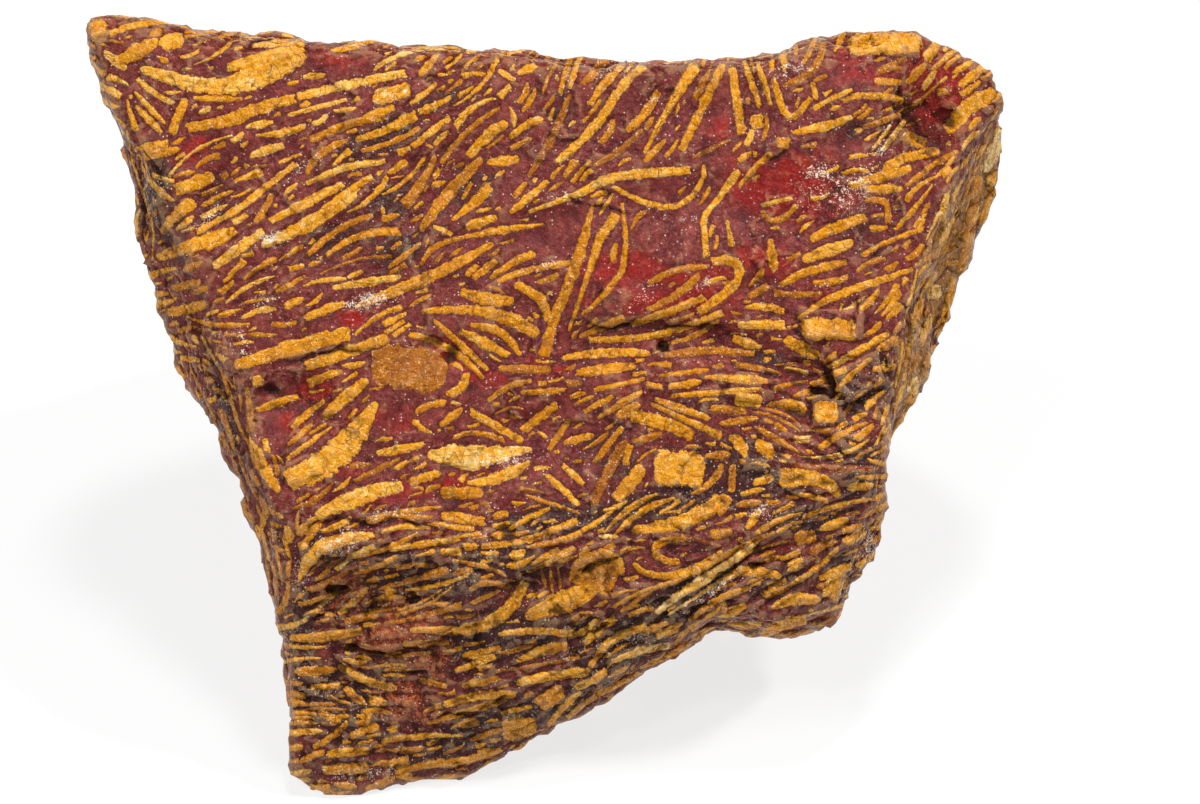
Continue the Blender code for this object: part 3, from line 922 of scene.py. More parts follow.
def lay_photo_plate(path, widths, tone, rounding, lens):
    """Lays a plate whose path and widths are read off the photo."""
    low = path.min(axis=0) - max(widths) / 2 - MARGIN
    high = path.max(axis=0) + max(widths) / 2 + MARGIN
    faces = hand_faces[np.all((hand_pixels > low) & (hand_pixels < high), axis=1)]
    if not len(faces):
        return
    along, aside, length = along_path(corner_pixels[faces], path)
    stations = np.linspace(0, length, len(widths))
    way = np.clip(2 * along / length - 1, -1, 1)
    width = np.interp(along, stations, widths) * (1 - lens * way**2)
    mean_width = float(np.mean(widths))
    along = (along - length / 2) * PIXEL
    aside = aside * (mean_width / width) * PIXEL
    half_length = length / 2 * PIXEL
    half_width = mean_width / 2 * PIXEL
    edge = plate_edge(along.mean(axis=1), aside.mean(axis=1), half_length, half_width, rounding)
    lay_plate(faces, along, aside, half_length, half_width, rounding, tone, edge)


# Each region: what is added to the tone of its plates, and the plates
REGIONS = [
    (0.07, TOP_LEFT_PLATES),
    (0.02, TOP_MIDDLE_PLATES),
    (0.02, TOP_RIGHT_PLATES),
    (-0.07, CENTRE_PLATES),
    (0, RIGHT_PLATES),
    (0.06, FLANK_PLATES),
    (0.02, LEFT_PLATES),
    (0, LOWER_PLATES),
    (0, BOTTOM_PLATES),
]
EVEN_WIDTHS = (0.94, 1.04, 0.98)
EVEN_LENS = (0.05, 0.5)
DRAWN_LENS = (0, 0.15)
LUMP_LENS = 0.1
TONE_CHANGE = (-0.10, 0.06)
LUMP_TONE_CHANGE = (-0.04, 0.04)
PLATE_ROUNDING = (0.3, 0.9)
FLOW_WEIGHT = 30
flow_places = []
flow_turns = []
flow_weights = []
dice = random.Random(2611)
for lift, region in REGIONS:
    for width, tone, *path in region:
        drawn = isinstance(width, tuple)
        widths = list(width) if drawn else [width * share for share in EVEN_WIDTHS]
        path = rounded_path(path)
        lens = dice.uniform(*(DRAWN_LENS if drawn else EVEN_LENS))
        tone = tone + lift + dice.uniform(*TONE_CHANGE)
        lay_photo_plate(path, widths, tone, dice.uniform(*PLATE_ROUNDING), lens)
        steps = path[1:] - path[:-1]
        flow_places.extend((path[1:] + path[:-1]) / 2)
        flow_turns.extend(np.arctan2(-steps[:, 1], steps[:, 0]))
        flow_weights.extend(np.linalg.norm(steps, axis=1))
for length, width, turn, rounding, tone, middle in LUMP_PLATES:
    angle = math.radians(turn)
    reach = np.array([math.cos(angle), math.sin(angle)]) * length / 2
    path = np.array([middle - reach, middle + reach])
    lay_photo_plate(path, [width, width], tone + dice.uniform(*LUMP_TONE_CHANGE), rounding, LUMP_LENS)
for x, y, turn in FLOW:
    flow_places.append((x, y))
    flow_turns.append(math.radians(turn))
    flow_weights.append(FLOW_WEIGHT)
flow_places = np.array(flow_places)
flow_turns = np.array(flow_turns)
flow_weights = np.array(flow_weights)
FLOW_REACH = 30
FLOW_FLOOR = 1e-9
HIDDEN_SWAY = 0.8
HIDDEN_SWAY_SIZE = 9
HIDDEN_SWAY_SEEDS = (61, 62, 63)


def flow_turn(pixel):
    """The angle, up to the right, at which small plates lie at a pixel of the photo."""
    apart = np.sum((flow_places - pixel) ** 2, axis=1)
    pull = flow_weights * np.exp(-apart / (2 * FLOW_REACH**2)) + FLOW_FLOOR / (1 + apart)
    return 0.5 * math.atan2(pull @ np.sin(2 * flow_turns), pull @ np.cos(2 * flow_turns))


def flow_direction(face):
    """The direction in which small plates lie at a face that the photo doesn't show."""
    normal = face_normals[face]
    place = face_middles[face][None]
    tilt = [clouds(place, HIDDEN_SWAY_SIZE, seed)[0] - 0.5 for seed in HIDDEN_SWAY_SEEDS]
    direction = np.cross(normal, bedding + HIDDEN_SWAY * np.array(tilt))
    direction = direction - normal * (direction @ normal)
    return direction / max(np.linalg.norm(direction), 1e-9)


# The faces are kept by the cubes in which they lie, so that those near a place are found fast
CELL = 1.5
CELL_SHIFT = 100
CELL_ROW = 1000
cell_numbers = np.floor(face_middles / CELL).astype(int) + CELL_SHIFT
cell_keys = cell_numbers @ np.array([1, CELL_ROW, CELL_ROW**2])
order = np.argsort(cell_keys, kind="stable")
cell_starts = np.flatnonzero(np.diff(cell_keys[order], prepend=-1))
cells = {
    int(cell_keys[order[start]]): order[start:end]
    for start, end in zip(cell_starts, np.append(cell_starts[1:], len(order)))
}


def faces_near(place, reach):
    """The faces whose middles lie within reach of a place."""
    low = np.floor((place - reach) / CELL).astype(int) + CELL_SHIFT
    high = np.floor((place + reach) / CELL).astype(int) + CELL_SHIFT
    found = [
        cells[key]
        for x in range(low[0], high[0] + 1)
        for y in range(low[1], high[1] + 1)
        for z in range(low[2], high[2] + 1)
        if (key := x + CELL_ROW * (y + CELL_ROW * z)) in cells
    ]
    near = np.concatenate(found)
    return near[np.sum((face_middles[near] - place) ** 2, axis=1) < reach**2]


LEAST_SPACE = 0.03
REACH_MARGIN = 0.6
REACH_SHARE = 1.2
SAME_SIDE = 0.25
FEWEST_FACES = 4
NEAR_PLATE = 1.2
BUNDLE_LENGTHS = (0.6, 0.5)
BUNDLE_WIDTHS = (0.75, 0.5)
BUNDLE_SHIFT = 0.5
BUNDLE_TONES = 0.12
NARROWEST = 0.12


def strew_bundle(face, count, half_length, half_width, turn, bend, taper, lens, rounding, tone, gap, draws):
    """Lays a few small plates side by side at a face, each one if it keeps its gap from the others there."""
    normal = face_normals[face]
    pitch = 2 * half_width + max(gap, LEAST_SPACE)
    reach = half_length * REACH_SHARE + count * pitch / 2 + REACH_MARGIN
    if by_hand[face]:
        middle = middle_pixels[face]
        angle = -flow_turn(middle) + turn
        near = hand_faces[np.all(np.abs(hand_pixels - middle) < reach / PIXEL, axis=1)]
        all_along, all_aside = turned_offset(corner_pixels[near] * PIXEL, middle * PIXEL, math.degrees(angle))
    else:
        direction = flow_direction(face)
        side = np.cross(normal, direction)
        direction = math.cos(turn) * direction + math.sin(turn) * side
        side = np.cross(normal, direction)
        near = faces_near(face_middles[face], reach)
        near = near[(face_normals[near] @ normal > SAME_SIDE) & ~by_hand[near]]
        off = corner_points[near] - face_middles[face]
        all_along = off @ direction
        all_aside = off @ side
    if len(near) < FEWEST_FACES:
        return
    all_aside = all_aside + bend * all_along**2
    for n in range(count):
        one_length = half_length
        one_shift = 0
        if count > 1:
            one_length = half_length * (BUNDLE_LENGTHS[0] + BUNDLE_LENGTHS[1] * draws[n, 0])
            one_shift = (draws[n, 2] - 0.5) * half_length * BUNDLE_SHIFT
        one_width = half_width * (BUNDLE_WIDTHS[0] + BUNDLE_WIDTHS[1] * draws[n, 1])
        along = all_along - one_shift
        aside = all_aside - (n - (count - 1) / 2) * pitch
        way = np.clip(along / one_length, -1, 1)
        aside = aside / np.maximum((1 + taper * way) * (1 - lens * way**2), NARROWEST)
        edge = plate_edge(along.mean(axis=1), aside.mean(axis=1), one_length, one_width, rounding)
        close = edge < NEAR_PLATE
        if not close.any():
            continue
        part = near[close]
        if np.min(edge[close] + plate_apart[part].min(axis=1)) < gap:
            continue
        one_tone = tone + (draws[n, 3] - 0.5) * BUNDLE_TONES
        lay_plate(part, along[close], aside[close], one_length, one_width, rounding, one_tone, edge[close])


PLAIN_EDGE = 1.3
HIDDEN_PLAIN = (0.59, 0.66)
HIDDEN_PLAIN_CLOUD = (6.5, 71)
plain = np.zeros(len(corners))
for x, y, radius in PLAIN_GROUND:
    apart = np.hypot(middle_pixels[:, 0] - x, middle_pixels[:, 1] - y)
    plain = np.maximum(plain, smooth_step(radius * PLAIN_EDGE, radius, apart) * by_hand)
plain = np.where(seen, plain, smooth_step(*HIDDEN_PLAIN, clouds(face_middles, *HIDDEN_PLAIN_CLOUD)))

# Each row: number of tries, half length, half width and least gap in mm, most plates side by side,
# and whether it is also strewn on the broad face, whose larger plates are listed one by one
STREWING = [
    (480, (1.8, 3.8), (0.38, 0.76), 0.14, 1, False),
    (760, (1.2, 2.8), (0.28, 0.50), 0.14, 2, False),
    (500, (1.8, 3.4), (0.16, 0.30), 0.09, 2, True),
    (1000, (1.1, 2.4), (0.20, 0.38), 0.09, 3, True),
    (1700, (0.8, 1.6), (0.16, 0.30), 0.09, 3, True),
    (2400, (0.45, 1.0), (0.13, 0.24), 0.09, 2, True),
    (1800, (0.20, 0.50), (0.10, 0.18), 0.09, 1, True),
]
FREE_WIDTH = 0.8
ROOM_WIDTH = 0.7
PLAIN_EMPTY = 0.985
HIDDEN_SHARE = 0.35
OVERLAPPING = 0.16
OVERLAP = -0.22
BEDDED_BELOW = (470, 540)
BEDDED_BEYOND = (850, 920)
BEDDED_CALM = 0.6
BRIGHT_CORNER = (760, 460)
BRIGHT_LIFT = 0.07
COMMON_TURN = 0.8
STRAY_TURN = 2.4
STRAYS = 0.10
BEND = 0.45
LENS_MOST = 0.75
ROUNDING = (0.25, 0.7)
DARKER_MOST = 0.36
PALE_LIFT = 0.14
PALE_ABOVE = 0.9
GAP_SHARES = (0.5, 1.2)
below = smooth_step(*BEDDED_BELOW, middle_pixels[:, 1])
beyond = smooth_step(*BEDDED_BEYOND, middle_pixels[:, 0])
bedded = by_hand * np.maximum(below, beyond)
bright = BRIGHT_LIFT * smooth_step(*BRIGHT_CORNER, middle_pixels.sum(axis=1)) * by_hand
strew_dice = np.random.default_rng(9226)
for tries, lengths, widths, gap, most, on_seen in STREWING:
    free = plate_apart.min(axis=1) > widths[0] * FREE_WIDTH + gap
    if not on_seen:
        free &= ~by_hand
    weight = np.where(free, face_areas * (1 - PLAIN_EMPTY * plain), 0)
    if on_seen:
        weight *= np.where(by_hand, 1, HIDDEN_SHARE)
    chosen = strew_dice.choice(len(corners), size=tries, p=weight / weight.sum())
    for face in chosen:
        draw = strew_dice.random(10)
        draws = strew_dice.random((most, 4))
        half_width = widths[0] + (widths[1] - widths[0]) * draw[0]
        half_length = lengths[0] + (lengths[1] - lengths[0]) * draw[1]
        overlap = draw[2] < OVERLAPPING and (bedded[face] > 0.5 or not by_hand[face])
        room = plate_apart[face].min() - gap
        if room < widths[0] * ROOM_WIDTH and not overlap:
            continue
        turn_reach = COMMON_TURN if draw[5] > STRAYS else STRAY_TURN
        pale_lift = PALE_LIFT if draw[9] > PALE_ABOVE else 0
        strew_bundle(
            int(face),
            count=1 + int(most * draw[3] ** 1.5),
            half_length=half_length,
            half_width=half_width if overlap else min(half_width, max(room, widths[0])),
            turn=(draw[4] - 0.5) * turn_reach * (1 - BEDDED_CALM * bedded[face]),
            bend=(draw[6] - 0.5) * BEND / max(half_length, 1),
            taper=draw[7] - 0.5,
            lens=LENS_MOST * draw[8] ** 1.5,
            rounding=ROUNDING[0] + ROUNDING[1] * draw[9],
            tone=GOLD + bright[face] - DARKER_MOST * draw[5] ** 2 + pale_lift,
            gap=OVERLAP if overlap else gap * (GAP_SHARES[0] + GAP_SHARES[1] * draw[8]),
            draws=draws,
        )

# The plates stand a little proud of the ground, least on the broad face
PLATE_STAND = 0.08
BROAD_STAND = 0.03
PLATE_SHOULDER = (0.08, -0.12)
inside = smooth_step(*PLATE_SHOULDER, plate_apart.min(axis=1))
corner_count = np.bincount(corners.ravel(), minlength=len(points))
stand = np.bincount(corners.ravel(), np.repeat(inside, 3), len(points)) / corner_count
stand *= (PLATE_STAND + (BROAD_STAND - PLATE_STAND) * broad) * foot
points = points + normals * stand[:, None]
write_skin(points)
for slot in range(SLOTS):
    store(f"plate_place_{slot + 1}", plate_place[:, slot], "CORNER")
    store(f"plate_form_{slot + 1}", plate_form[:, slot], "CORNER")

# The ground between the plates
# Maroon silica coloured by iron, in places brighter red, grey-brown, brick orange or white with quartz.
# Each patch: middle, reach along and across in photo pixels, turn in degrees, and strength
RED_PATCHES = [
    (680, 300, 70, 24, -5, 0.8), (800, 190, 50, 40, 10, 0.8), (770, 260, 30, 26, 0, 0.7),
    (480, 375, 40, 14, 10, 0.6), (380, 420, 50, 16, 0, 0.5), (940, 80, 40, 50, 0, 0.8),
    (610, 270, 50, 20, 0, 0.8), (870, 75, 40, 14, 0, 0.6), (690, 275, 60, 14, -8, 0.7),
    (760, 185, 40, 36, 20, 0.8), (565, 372, 24, 12, 0, 0.6), (700, 330, 40, 9, 0, 0.6),
    (590, 290, 26, 22, 0, 0.5), (925, 60, 16, 20, 0, 0.7), (820, 300, 20, 20, 0, 0.5),
    (500, 470, 40, 10, 0, 0.5), (636, 268, 40, 16, 0, 1.0), (750, 257, 18, 12, 0, 1.0),
    (448, 353, 28, 18, 10, 0.9), (352, 318, 16, 10, 0, 0.9), (315, 388, 22, 16, 0, 0.9),
    (945, 100, 34, 46, 0, 0.9), (452, 485, 18, 12, 0, 1.0), (195, 148, 22, 14, -30, 0.8),
    (790, 170, 30, 26, 0, 0.8), (770, 200, 22, 18, 0, 0.7), (415, 488, 60, 12, -10, 0.7),
    (300, 240, 14, 20, 0, 0.4), (380, 500, 40, 10, -10, 0.6), (720, 130, 22, 18, 0, 0.5),
    (540, 360, 16, 10, 0, 0.7), (330, 60, 40, 10, 5, 0.5), (580, 255, 12, 20, 0, 0.5),
    (820, 210, 26, 16, 0, 0.6), (690, 290, 30, 10, -20, 0.6), (850, 60, 26, 18, 0, 0.5),
    (290, 420, 20, 14, 0, 0.6), (780, 545, 40, 12, -20, 0.5), (350, 470, 24, 10, -20, 0.6),
]
GREY_PATCHES = [
    (420, 585, 120, 34, -8, 0.75), (500, 640, 120, 34, -14, 0.8), (360, 700, 80, 50, 0, 0.8),
    (480, 730, 100, 30, -20, 0.8), (300, 660, 22, 90, 0, 0.8), (320, 560, 40, 24, 0, 0.6),
    (560, 520, 90, 22, -5, 0.8), (640, 640, 90, 22, -32, 0.9), (860, 470, 30, 40, 0, 0.8),
    (780, 580, 50, 22, -20, 0.7), (850, 400, 40, 30, 0, 0.7), (400, 250, 60, 24, -30, 0.6),
    (690, 500, 90, 22, -8, 1.0), (600, 520, 70, 16, -5, 0.8), (740, 460, 60, 26, 10, 0.8),
    (660, 610, 90, 20, -30, 0.9), (800, 520, 40, 22, -10, 0.9), (760, 480, 50, 22, 10, 0.9),
    (700, 405, 60, 14, 0, 0.5), (770, 360, 30, 20, 0, 0.6), (600, 440, 60, 18, -30, 0.5),
    (380, 140, 70, 34, -25, 0.6), (470, 190, 60, 40, -30, 0.5), (330, 235, 70, 34, -25, 0.55),
    (220, 200, 50, 26, -30, 0.45), (150, 190, 20, 60, 10, 0.7), (440, 100, 60, 22, -10, 0.45),
    (860, 130, 50, 20, -5, 0.5), (560, 110, 20, 30, 20, 0.5), (860, 230, 40, 34, -20, 0.5),
    (340, 760, 60, 30, 0, 0.5), (560, 700, 90, 24, -24, 0.8), (500, 560, 60, 30, 0, 0.8),
    (330, 540, 30, 20, 0, 0.6), (230, 420, 14, 80, -15, 0.6), (880, 380, 20, 50, 0, 0.6),
    (400, 560, 60, 20, 0, 0.6), (620, 470, 40, 30, 0, 0.5), (840, 570, 30, 40, 0, 0.7),
    (390, 205, 40, 30, -40, 0.7),
]
WHITE_PATCHES = [
    (820, 172, 22, 11, 0, 0.8), (845, 188, 50, 22, -15, 0.6), (370, 300, 34, 8, -12, 0.9),
    (270, 238, 14, 9, 0, 0.9), (760, 510, 14, 10, 0, 0.8), (680, 219, 24, 4, -5, 0.5),
    (650, 102, 10, 8, 0, 0.6), (335, 545, 30, 14, -20, 0.7), (560, 195, 20, 5, -10, 0.6),
    (720, 262, 16, 8, -20, 0.5), (300, 168, 24, 8, -35, 0.6), (390, 96, 18, 9, -15, 0.7),
    (210, 215, 22, 8, -35, 0.6), (540, 265, 24, 8, -15, 0.5), (640, 300, 22, 10, -60, 0.5),
    (790, 70, 24, 10, -15, 0.6), (240, 345, 12, 16, 0, 0.5), (870, 545, 10, 26, 0, 0.8),
    (750, 130, 8, 8, 0, 0.5), (700, 285, 18, 6, -25, 0.6), (500, 460, 40, 7, -3, 0.8),
    (590, 650, 60, 8, -15, 0.5), (360, 775, 50, 10, 0, 0.6), (560, 745, 60, 8, -28, 0.5),
    (715, 590, 40, 8, -35, 0.7), (620, 68, 26, 7, -20, 0.6), (300, 580, 10, 24, 10, 0.6),
    (155, 55, 20, 6, -20, 0.4), (880, 150, 14, 8, -40, 0.8), (265, 300, 18, 8, -20, 0.5),
    (480, 520, 20, 8, 0, 0.4), (850, 430, 16, 8, 10, 0.5), (395, 515, 30, 8, -8, 0.5),
]
BRICK_PATCHES = [
    (410, 610, 36, 24, 10, 0.9), (430, 650, 34, 30, 0, 0.8), (400, 700, 36, 34, 0, 0.7),
    (350, 590, 34, 24, 0, 0.8), (380, 640, 40, 22, 0, 0.8), (430, 720, 30, 20, 0, 0.6),
    (490, 540, 40, 20, 0, 0.4), (350, 670, 30, 16, 0, 0.5), (720, 460, 12, 24, 0, 0.5),
    (785, 540, 40, 8, -20, 0.5), (660, 300, 12, 14, 0, 0.4), (340, 500, 20, 12, 0, 0.3),
]
TAN_PATCHES = [
    (950, 250, 26, 90, 18, 1.0), (915, 370, 22, 80, 10, 1.0), (893, 440, 12, 40, 5, 0.9),
    (985, 170, 14, 50, 12, 0.9), (450, 55, 100, 7, 4, 0.25), (300, 45, 80, 6, 6, 0.25),
    (860, 590, 14, 40, 20, 0.6), (100, 35, 14, 14, 0, 0.6),
]
# Painted shade, where the broad face lies in shade: down the left flank, under the overhanging step and in
# deep cracks and hollows
PAINTED_SHADE_PATCHES = [
    (170, 222, 16, 48, -18, 1.0), (215, 370, 16, 80, -18, 0.45), (258, 500, 14, 80, -14, 0.4),
    (280, 620, 10, 60, 0, 0.5), (822, 396, 14, 12, 0, 0.9), (640, 326, 70, 5, 0, 0.6),
    (940, 130, 18, 14, 0, 0.6), (300, 560, 10, 14, 0, 0.5),
]

# Each kind of ground: its patches in the photo, then, for the sides that the photo doesn't show,
# the size in mm and the seed of soft random ones, the values at which they begin and are full, and strength
GROUND = [
    (RED_PATCHES, 4.5, 81, (0.60, 0.78), 0.8),
    (GREY_PATCHES, 6.0, 82, (0.56, 0.78), 0.6),
    (WHITE_PATCHES, 2.6, 83, (0.76, 0.92), 0.6),
    (BRICK_PATCHES, 6.5, 84, (0.72, 0.86), 0.35),
    (TAN_PATCHES, 9.0, 85, (0.74, 0.88), 0.20),
    (PAINTED_SHADE_PATCHES, 5.0, 86, (0.66, 0.82), 0.6),
]
HIDDEN_FACING = (0.0, 0.25)
seen_points = np.zeros(len(points), bool)
seen_points[corners[seen].ravel()] = True
point_pixels = photo_place(points)
hidden = 1 - smooth_step(*HIDDEN_FACING, facing) * seen_points
ground_values = []
for patches, size, seed, limits, most in GROUND:
    value = np.zeros(len(points))
    for x, y, reach_x, reach_y, turn, strength in patches:
        along, across = turned_offset(point_pixels, (x, y), turn)
        value = np.maximum(value, strength * np.exp(-((along / reach_x) ** 2) - (across / reach_y) ** 2))
    unseen = most * smooth_step(*limits, clouds(points, size, seed))
    ground_values.append(value * (1 - hidden) + unseen * hidden)
store("ground_one", np.column_stack(ground_values[:3]))
store("ground_two", np.column_stack(ground_values[3:]))

# The broad face is smooth and glossy, the steep broken sides are duller
GLOSS_LEAST = 0.10
GLOSS_FACING = (0.40, 0.82)
gloss = GLOSS_LEAST + (1 - GLOSS_LEAST) * smooth_step(*GLOSS_FACING, normals @ OUT)
store("finish", np.column_stack([gloss, broad, np.zeros(len(points))]))


# The jasper's own material
# Fine-grained silica: plates, ground, grains, quartz specks also painted as glints, painted relief light and
# shade, and an uneven broken surface.
# It is one material over the whole stone. The mesh says where each plate and each patch lies.
def paint(red, green, blue):
    """A colour given as it looks on a screen, 0 to 255, as the amounts of light that the nodes use."""
    parts = [c / 255 for c in (red, green, blue)]
    light = [c / 12.92 if c <= 0.04045 else ((c + 0.055) / 1.055) ** 2.4 for c in parts]
    return (*light, 1.0)


class Field:
    """A value, colour or shader that varies over the surface: one output of the material's nodes."""

    nodes = None
    links = None

    def __init__(self, socket):
        self.socket = socket

    @classmethod
    def node(cls, kind, settings, values, output=0):
        """Adds a node: its settings or a ramp's stops first, then its sockets' values or links."""
        made = cls.nodes.new(kind)
        for name, value in settings.items():
            if name != "stops":
                setattr(made, name, value)
                continue
            stops = made.color_ramp.elements
            while len(stops) < len(value):
                stops.new(0.5)
            for stop, (position, colour) in zip(stops, value):
                stop.position = position
                stop.color = colour
        for name, value in values.items():
            if isinstance(value, Field):
                cls.links.new(value.socket, made.inputs[name])
            else:
                made.inputs[name].default_value = value
        return cls(made.outputs[output]) if len(made.outputs) else None

    def beside(self, output):
        """Another output of the same node."""
        return Field(self.socket.node.outputs[output])

    def math(self, operation, *others):
        values = dict(enumerate((self, *others)))
        return Field.node("ShaderNodeMath", {"operation": operation}, values)

    def __add__(self, other):
        return self.math("ADD", other)

    __radd__ = __add__

    def __mul__(self, other):
        return self.math("MULTIPLY", other)

    __rmul__ = __mul__

    def __sub__(self, other):
        return self.math("SUBTRACT", other)

    def __rsub__(self, other):
        return (self * -1.0) + other

    def least(self, other):
        return self.math("MINIMUM", other)

    def most(self, other):
        return self.math("MAXIMUM", other)

    def size(self):
        return self.math("ABSOLUTE")

    def below(self, other):
        return self.math("LESS_THAN", other)

    def rise(self, low, high):
        """0 at low and 1 at high, with a soft rise or fall between."""
        values = {"Value": self, "From Min": low, "From Max": high}
        if low > high:
            values = {"Value": self, "From Min": high, "From Max": low, "To Min": 1.0, "To Max": 0.0}
        return Field.node("ShaderNodeMapRange", {"interpolation_type": "SMOOTHSTEP"}, values)

    def parts(self):
        """The three values of a place or colour."""
        first = Field.node("ShaderNodeSeparateXYZ", {}, {0: self})
        return [first, first.beside(1), first.beside(2)]


def between(share, first, second):
    """A number between two, by a share."""
    return Field.node("ShaderNodeMix", {"data_type": "FLOAT"}, {0: share, 2: first, 3: second})


def place_between(share, first, second):
    """A place between two, by a share."""
    return Field.node("ShaderNodeMix", {"data_type": "VECTOR"}, {0: share, 4: first, 5: second}, 1)


def tint(share, first, second):
    """A colour between two, by a share."""
    return Field.node("ShaderNodeMix", {"data_type": "RGBA"}, {0: share, 6: first, 7: second}, 2)


def coated(colour, *coats):
    """A colour with others laid over it in turn, each with its share."""
    for share, coat in coats:
        colour = tint(share, colour, coat)
    return colour


def grain(place, size, detail=2.0, roughness=0.5, warp=0.0):
    """Uneven values about 0.5 whose grains are about size mm across."""
    values = {"Vector": place, "Scale": 1 / size, "Detail": detail}
    values |= {"Roughness": roughness, "Distortion": warp}
    return Field.node("ShaderNodeTexNoise", {"noise_dimensions": "3D"}, values)


def place_math(operation, place, by):
    """A place with a step added, or with each of its parts made larger or smaller."""
    return Field.node("ShaderNodeVectorMath", {"operation": operation}, {0: place, 1: by})


def scaled(place, scale):
    """A place or colour made larger or smaller."""
    return Field.node("ShaderNodeVectorMath", {"operation": "SCALE"}, {0: place, "Scale": scale})


def stored(name):
    """Three values that the mesh carries."""
    return Field.node("ShaderNodeAttribute", {"attribute_name": name}, {}, "Vector")


jasper = bpy.data.materials.new("jasper")
jasper.use_nodes = True
Field.nodes = jasper.node_tree.nodes
Field.links = jasper.node_tree.links
Field.nodes.clear()

# Grain of several sizes, which makes edges uneven and colours cloudy
OTHER_GRAIN = (17.0, 5.0, 9.0)
place = scaled(Field.node("ShaderNodeTexCoord", {}, {}, "Object"), 1 / MM)
shifted = place_math("ADD", place, OTHER_GRAIN)
coarse = grain(place, 1.6, 3.0)
medium = grain(place, 0.42, 3.0)
fine = grain(place, 0.13, 2.0, 0.6)
coarse_off = coarse - 0.5
medium_off = medium - 0.5
fine_off = fine - 0.5
wobble_along = grain(place, 0.9) - 0.5
wobble_aside = grain(shifted, 0.6, 3.0, 0.6) - 0.5
fine_edge = grain(shifted, 0.14, 2.0) - 0.5

# The nearest of the plates written on a face: how far its edge is, its tone and its streaks
END_WOBBLE = (0.7, 0.5)
SIDE_WOBBLE = (0.9, 0.22)
EDGE_GRAIN = 0.12
STREAK_SCALE = (1.3, 7.0, 60.0)
BREAK_SCALE = (0.6, 0.06, 1.0)
edge = None
for slot in range(SLOTS):
    along, aside, slot_tone = stored(f"plate_place_{slot + 1}").parts()
    half_length, half_width, rounding = stored(f"plate_form_{slot + 1}").parts()
    curve = half_width * rounding
    end_place = along + wobble_along * END_WOBBLE[0] + wobble_aside * END_WOBBLE[1]
    side_place = aside + wobble_aside * (half_width * SIDE_WOBBLE[0] + SIDE_WOBBLE[1])
    over_end = end_place.size() - half_length + curve
    over_side = side_place.size() - half_width + curve
    end_out = over_end.most(0.0)
    side_out = over_side.most(0.0)
    outside = (end_out * end_out + side_out * side_out).math("SQRT")
    slot_edge = outside + over_end.most(over_side).least(0.0) - curve + fine_edge * EDGE_GRAIN
    slot_streak = Field.node("ShaderNodeCombineXYZ", {}, {0: along, 1: aside, 2: slot_tone})
    if edge is None:
        edge, tone, streak_place = slot_edge, slot_tone, slot_streak
    else:
        nearer = slot_edge.below(edge)
        tone = between(nearer, tone, slot_tone)
        streak_place = place_between(nearer, streak_place, slot_streak)
        edge = edge.least(slot_edge)
streak_place = place_math("MULTIPLY", streak_place, STREAK_SCALE)
streak = grain(streak_place, 1.0)
break_field = grain(place_math("MULTIPLY", streak_place, BREAK_SCALE), 1.0, 1.0)

# Lines and bands along the plates' edges, from how far the edge is in mm
PLATE_EDGE = (0.02, -0.03)
INNER_RIM = (-0.11, 0.0)
OUTER_RIM = (0.14, 0.02)
NARROW_GAP = (0.34, 0.06)
BREAK_LINE = (0.018, 0.005)
on_plate = edge.rise(*PLATE_EDGE)
off_plate = 1.0 - on_plate
plate_rim = edge.rise(*INNER_RIM) * on_plate
ground_rim = edge.rise(*OUTER_RIM) * off_plate
narrow_gap = edge.rise(*NARROW_GAP) * off_plate
plate_break = (break_field - 0.5).size().rise(*BREAK_LINE) * on_plate
gloss_share, broad_share, _ = stored("finish").parts()
near_hollow, wide_hollow, crack_apart = stored("hollow").parts()

# The plates run from rust through ochre and gold to pale cream, each with its own tone
PLATE_COLOURS = [
    (0.0, paint(132, 56, 16)),
    (0.25, paint(162, 92, 12)),
    (0.5, paint(200, 124, 2)),
    (0.68, paint(225, 150, 14)),
    (0.86, paint(234, 178, 76)),
    (1.0, paint(242, 212, 154)),
]
TONE_GRAIN = {"coarse": 0.40, "medium": 0.42, "fine": 0.2, "streak": 0.5}
PLATE_RIM = paint(132, 70, 12)
PLATE_BREAK = paint(122, 54, 24)
plate_tone = tone + coarse_off * TONE_GRAIN["coarse"] + medium_off * TONE_GRAIN["medium"]
plate_tone = plate_tone + fine_off * TONE_GRAIN["fine"] + (streak - 0.5) * TONE_GRAIN["streak"]
plate_colour = coated(
    Field.node("ShaderNodeValToRGB", {"stops": PLATE_COLOURS}, {"Fac": plate_tone}),
    (plate_rim * (0.5 - broad_share * 0.25), PLATE_RIM),
    (plate_break * 0.5, PLATE_BREAK),
)

# The patches of the ground, with ragged edges
RAGGED = 0.9
RAGGED_FROM = (0.02, 0.3)
PATCH_LIMITS = (0.30, 0.62)
RED_LIMITS = (0.18, 0.75)
FROST_GRAIN = {"fine": 0.62, "medium": 0.38, "frost": 0.20}
FROST_LIMITS = (0.64, 0.71)
FROST_FROM = (0.05, 0.3)
ragged = medium_off * RAGGED + coarse_off * RAGGED


def patch(value, limits=PATCH_LIMITS):
    """A patch's value with its edge made ragged by the grain."""
    return (value + ragged * value.rise(*RAGGED_FROM)).rise(*limits)


red_value, grey_value, frost = stored("ground_one").parts()
red = patch(red_value, RED_LIMITS)
grey = patch(grey_value)
brick, tan, dark = [patch(value) for value in stored("ground_two").parts()]
frosted = fine * FROST_GRAIN["fine"] + medium * FROST_GRAIN["medium"] + frost * FROST_GRAIN["frost"]
white = frosted.rise(*FROST_LIMITS) * frost.rise(*FROST_FROM)

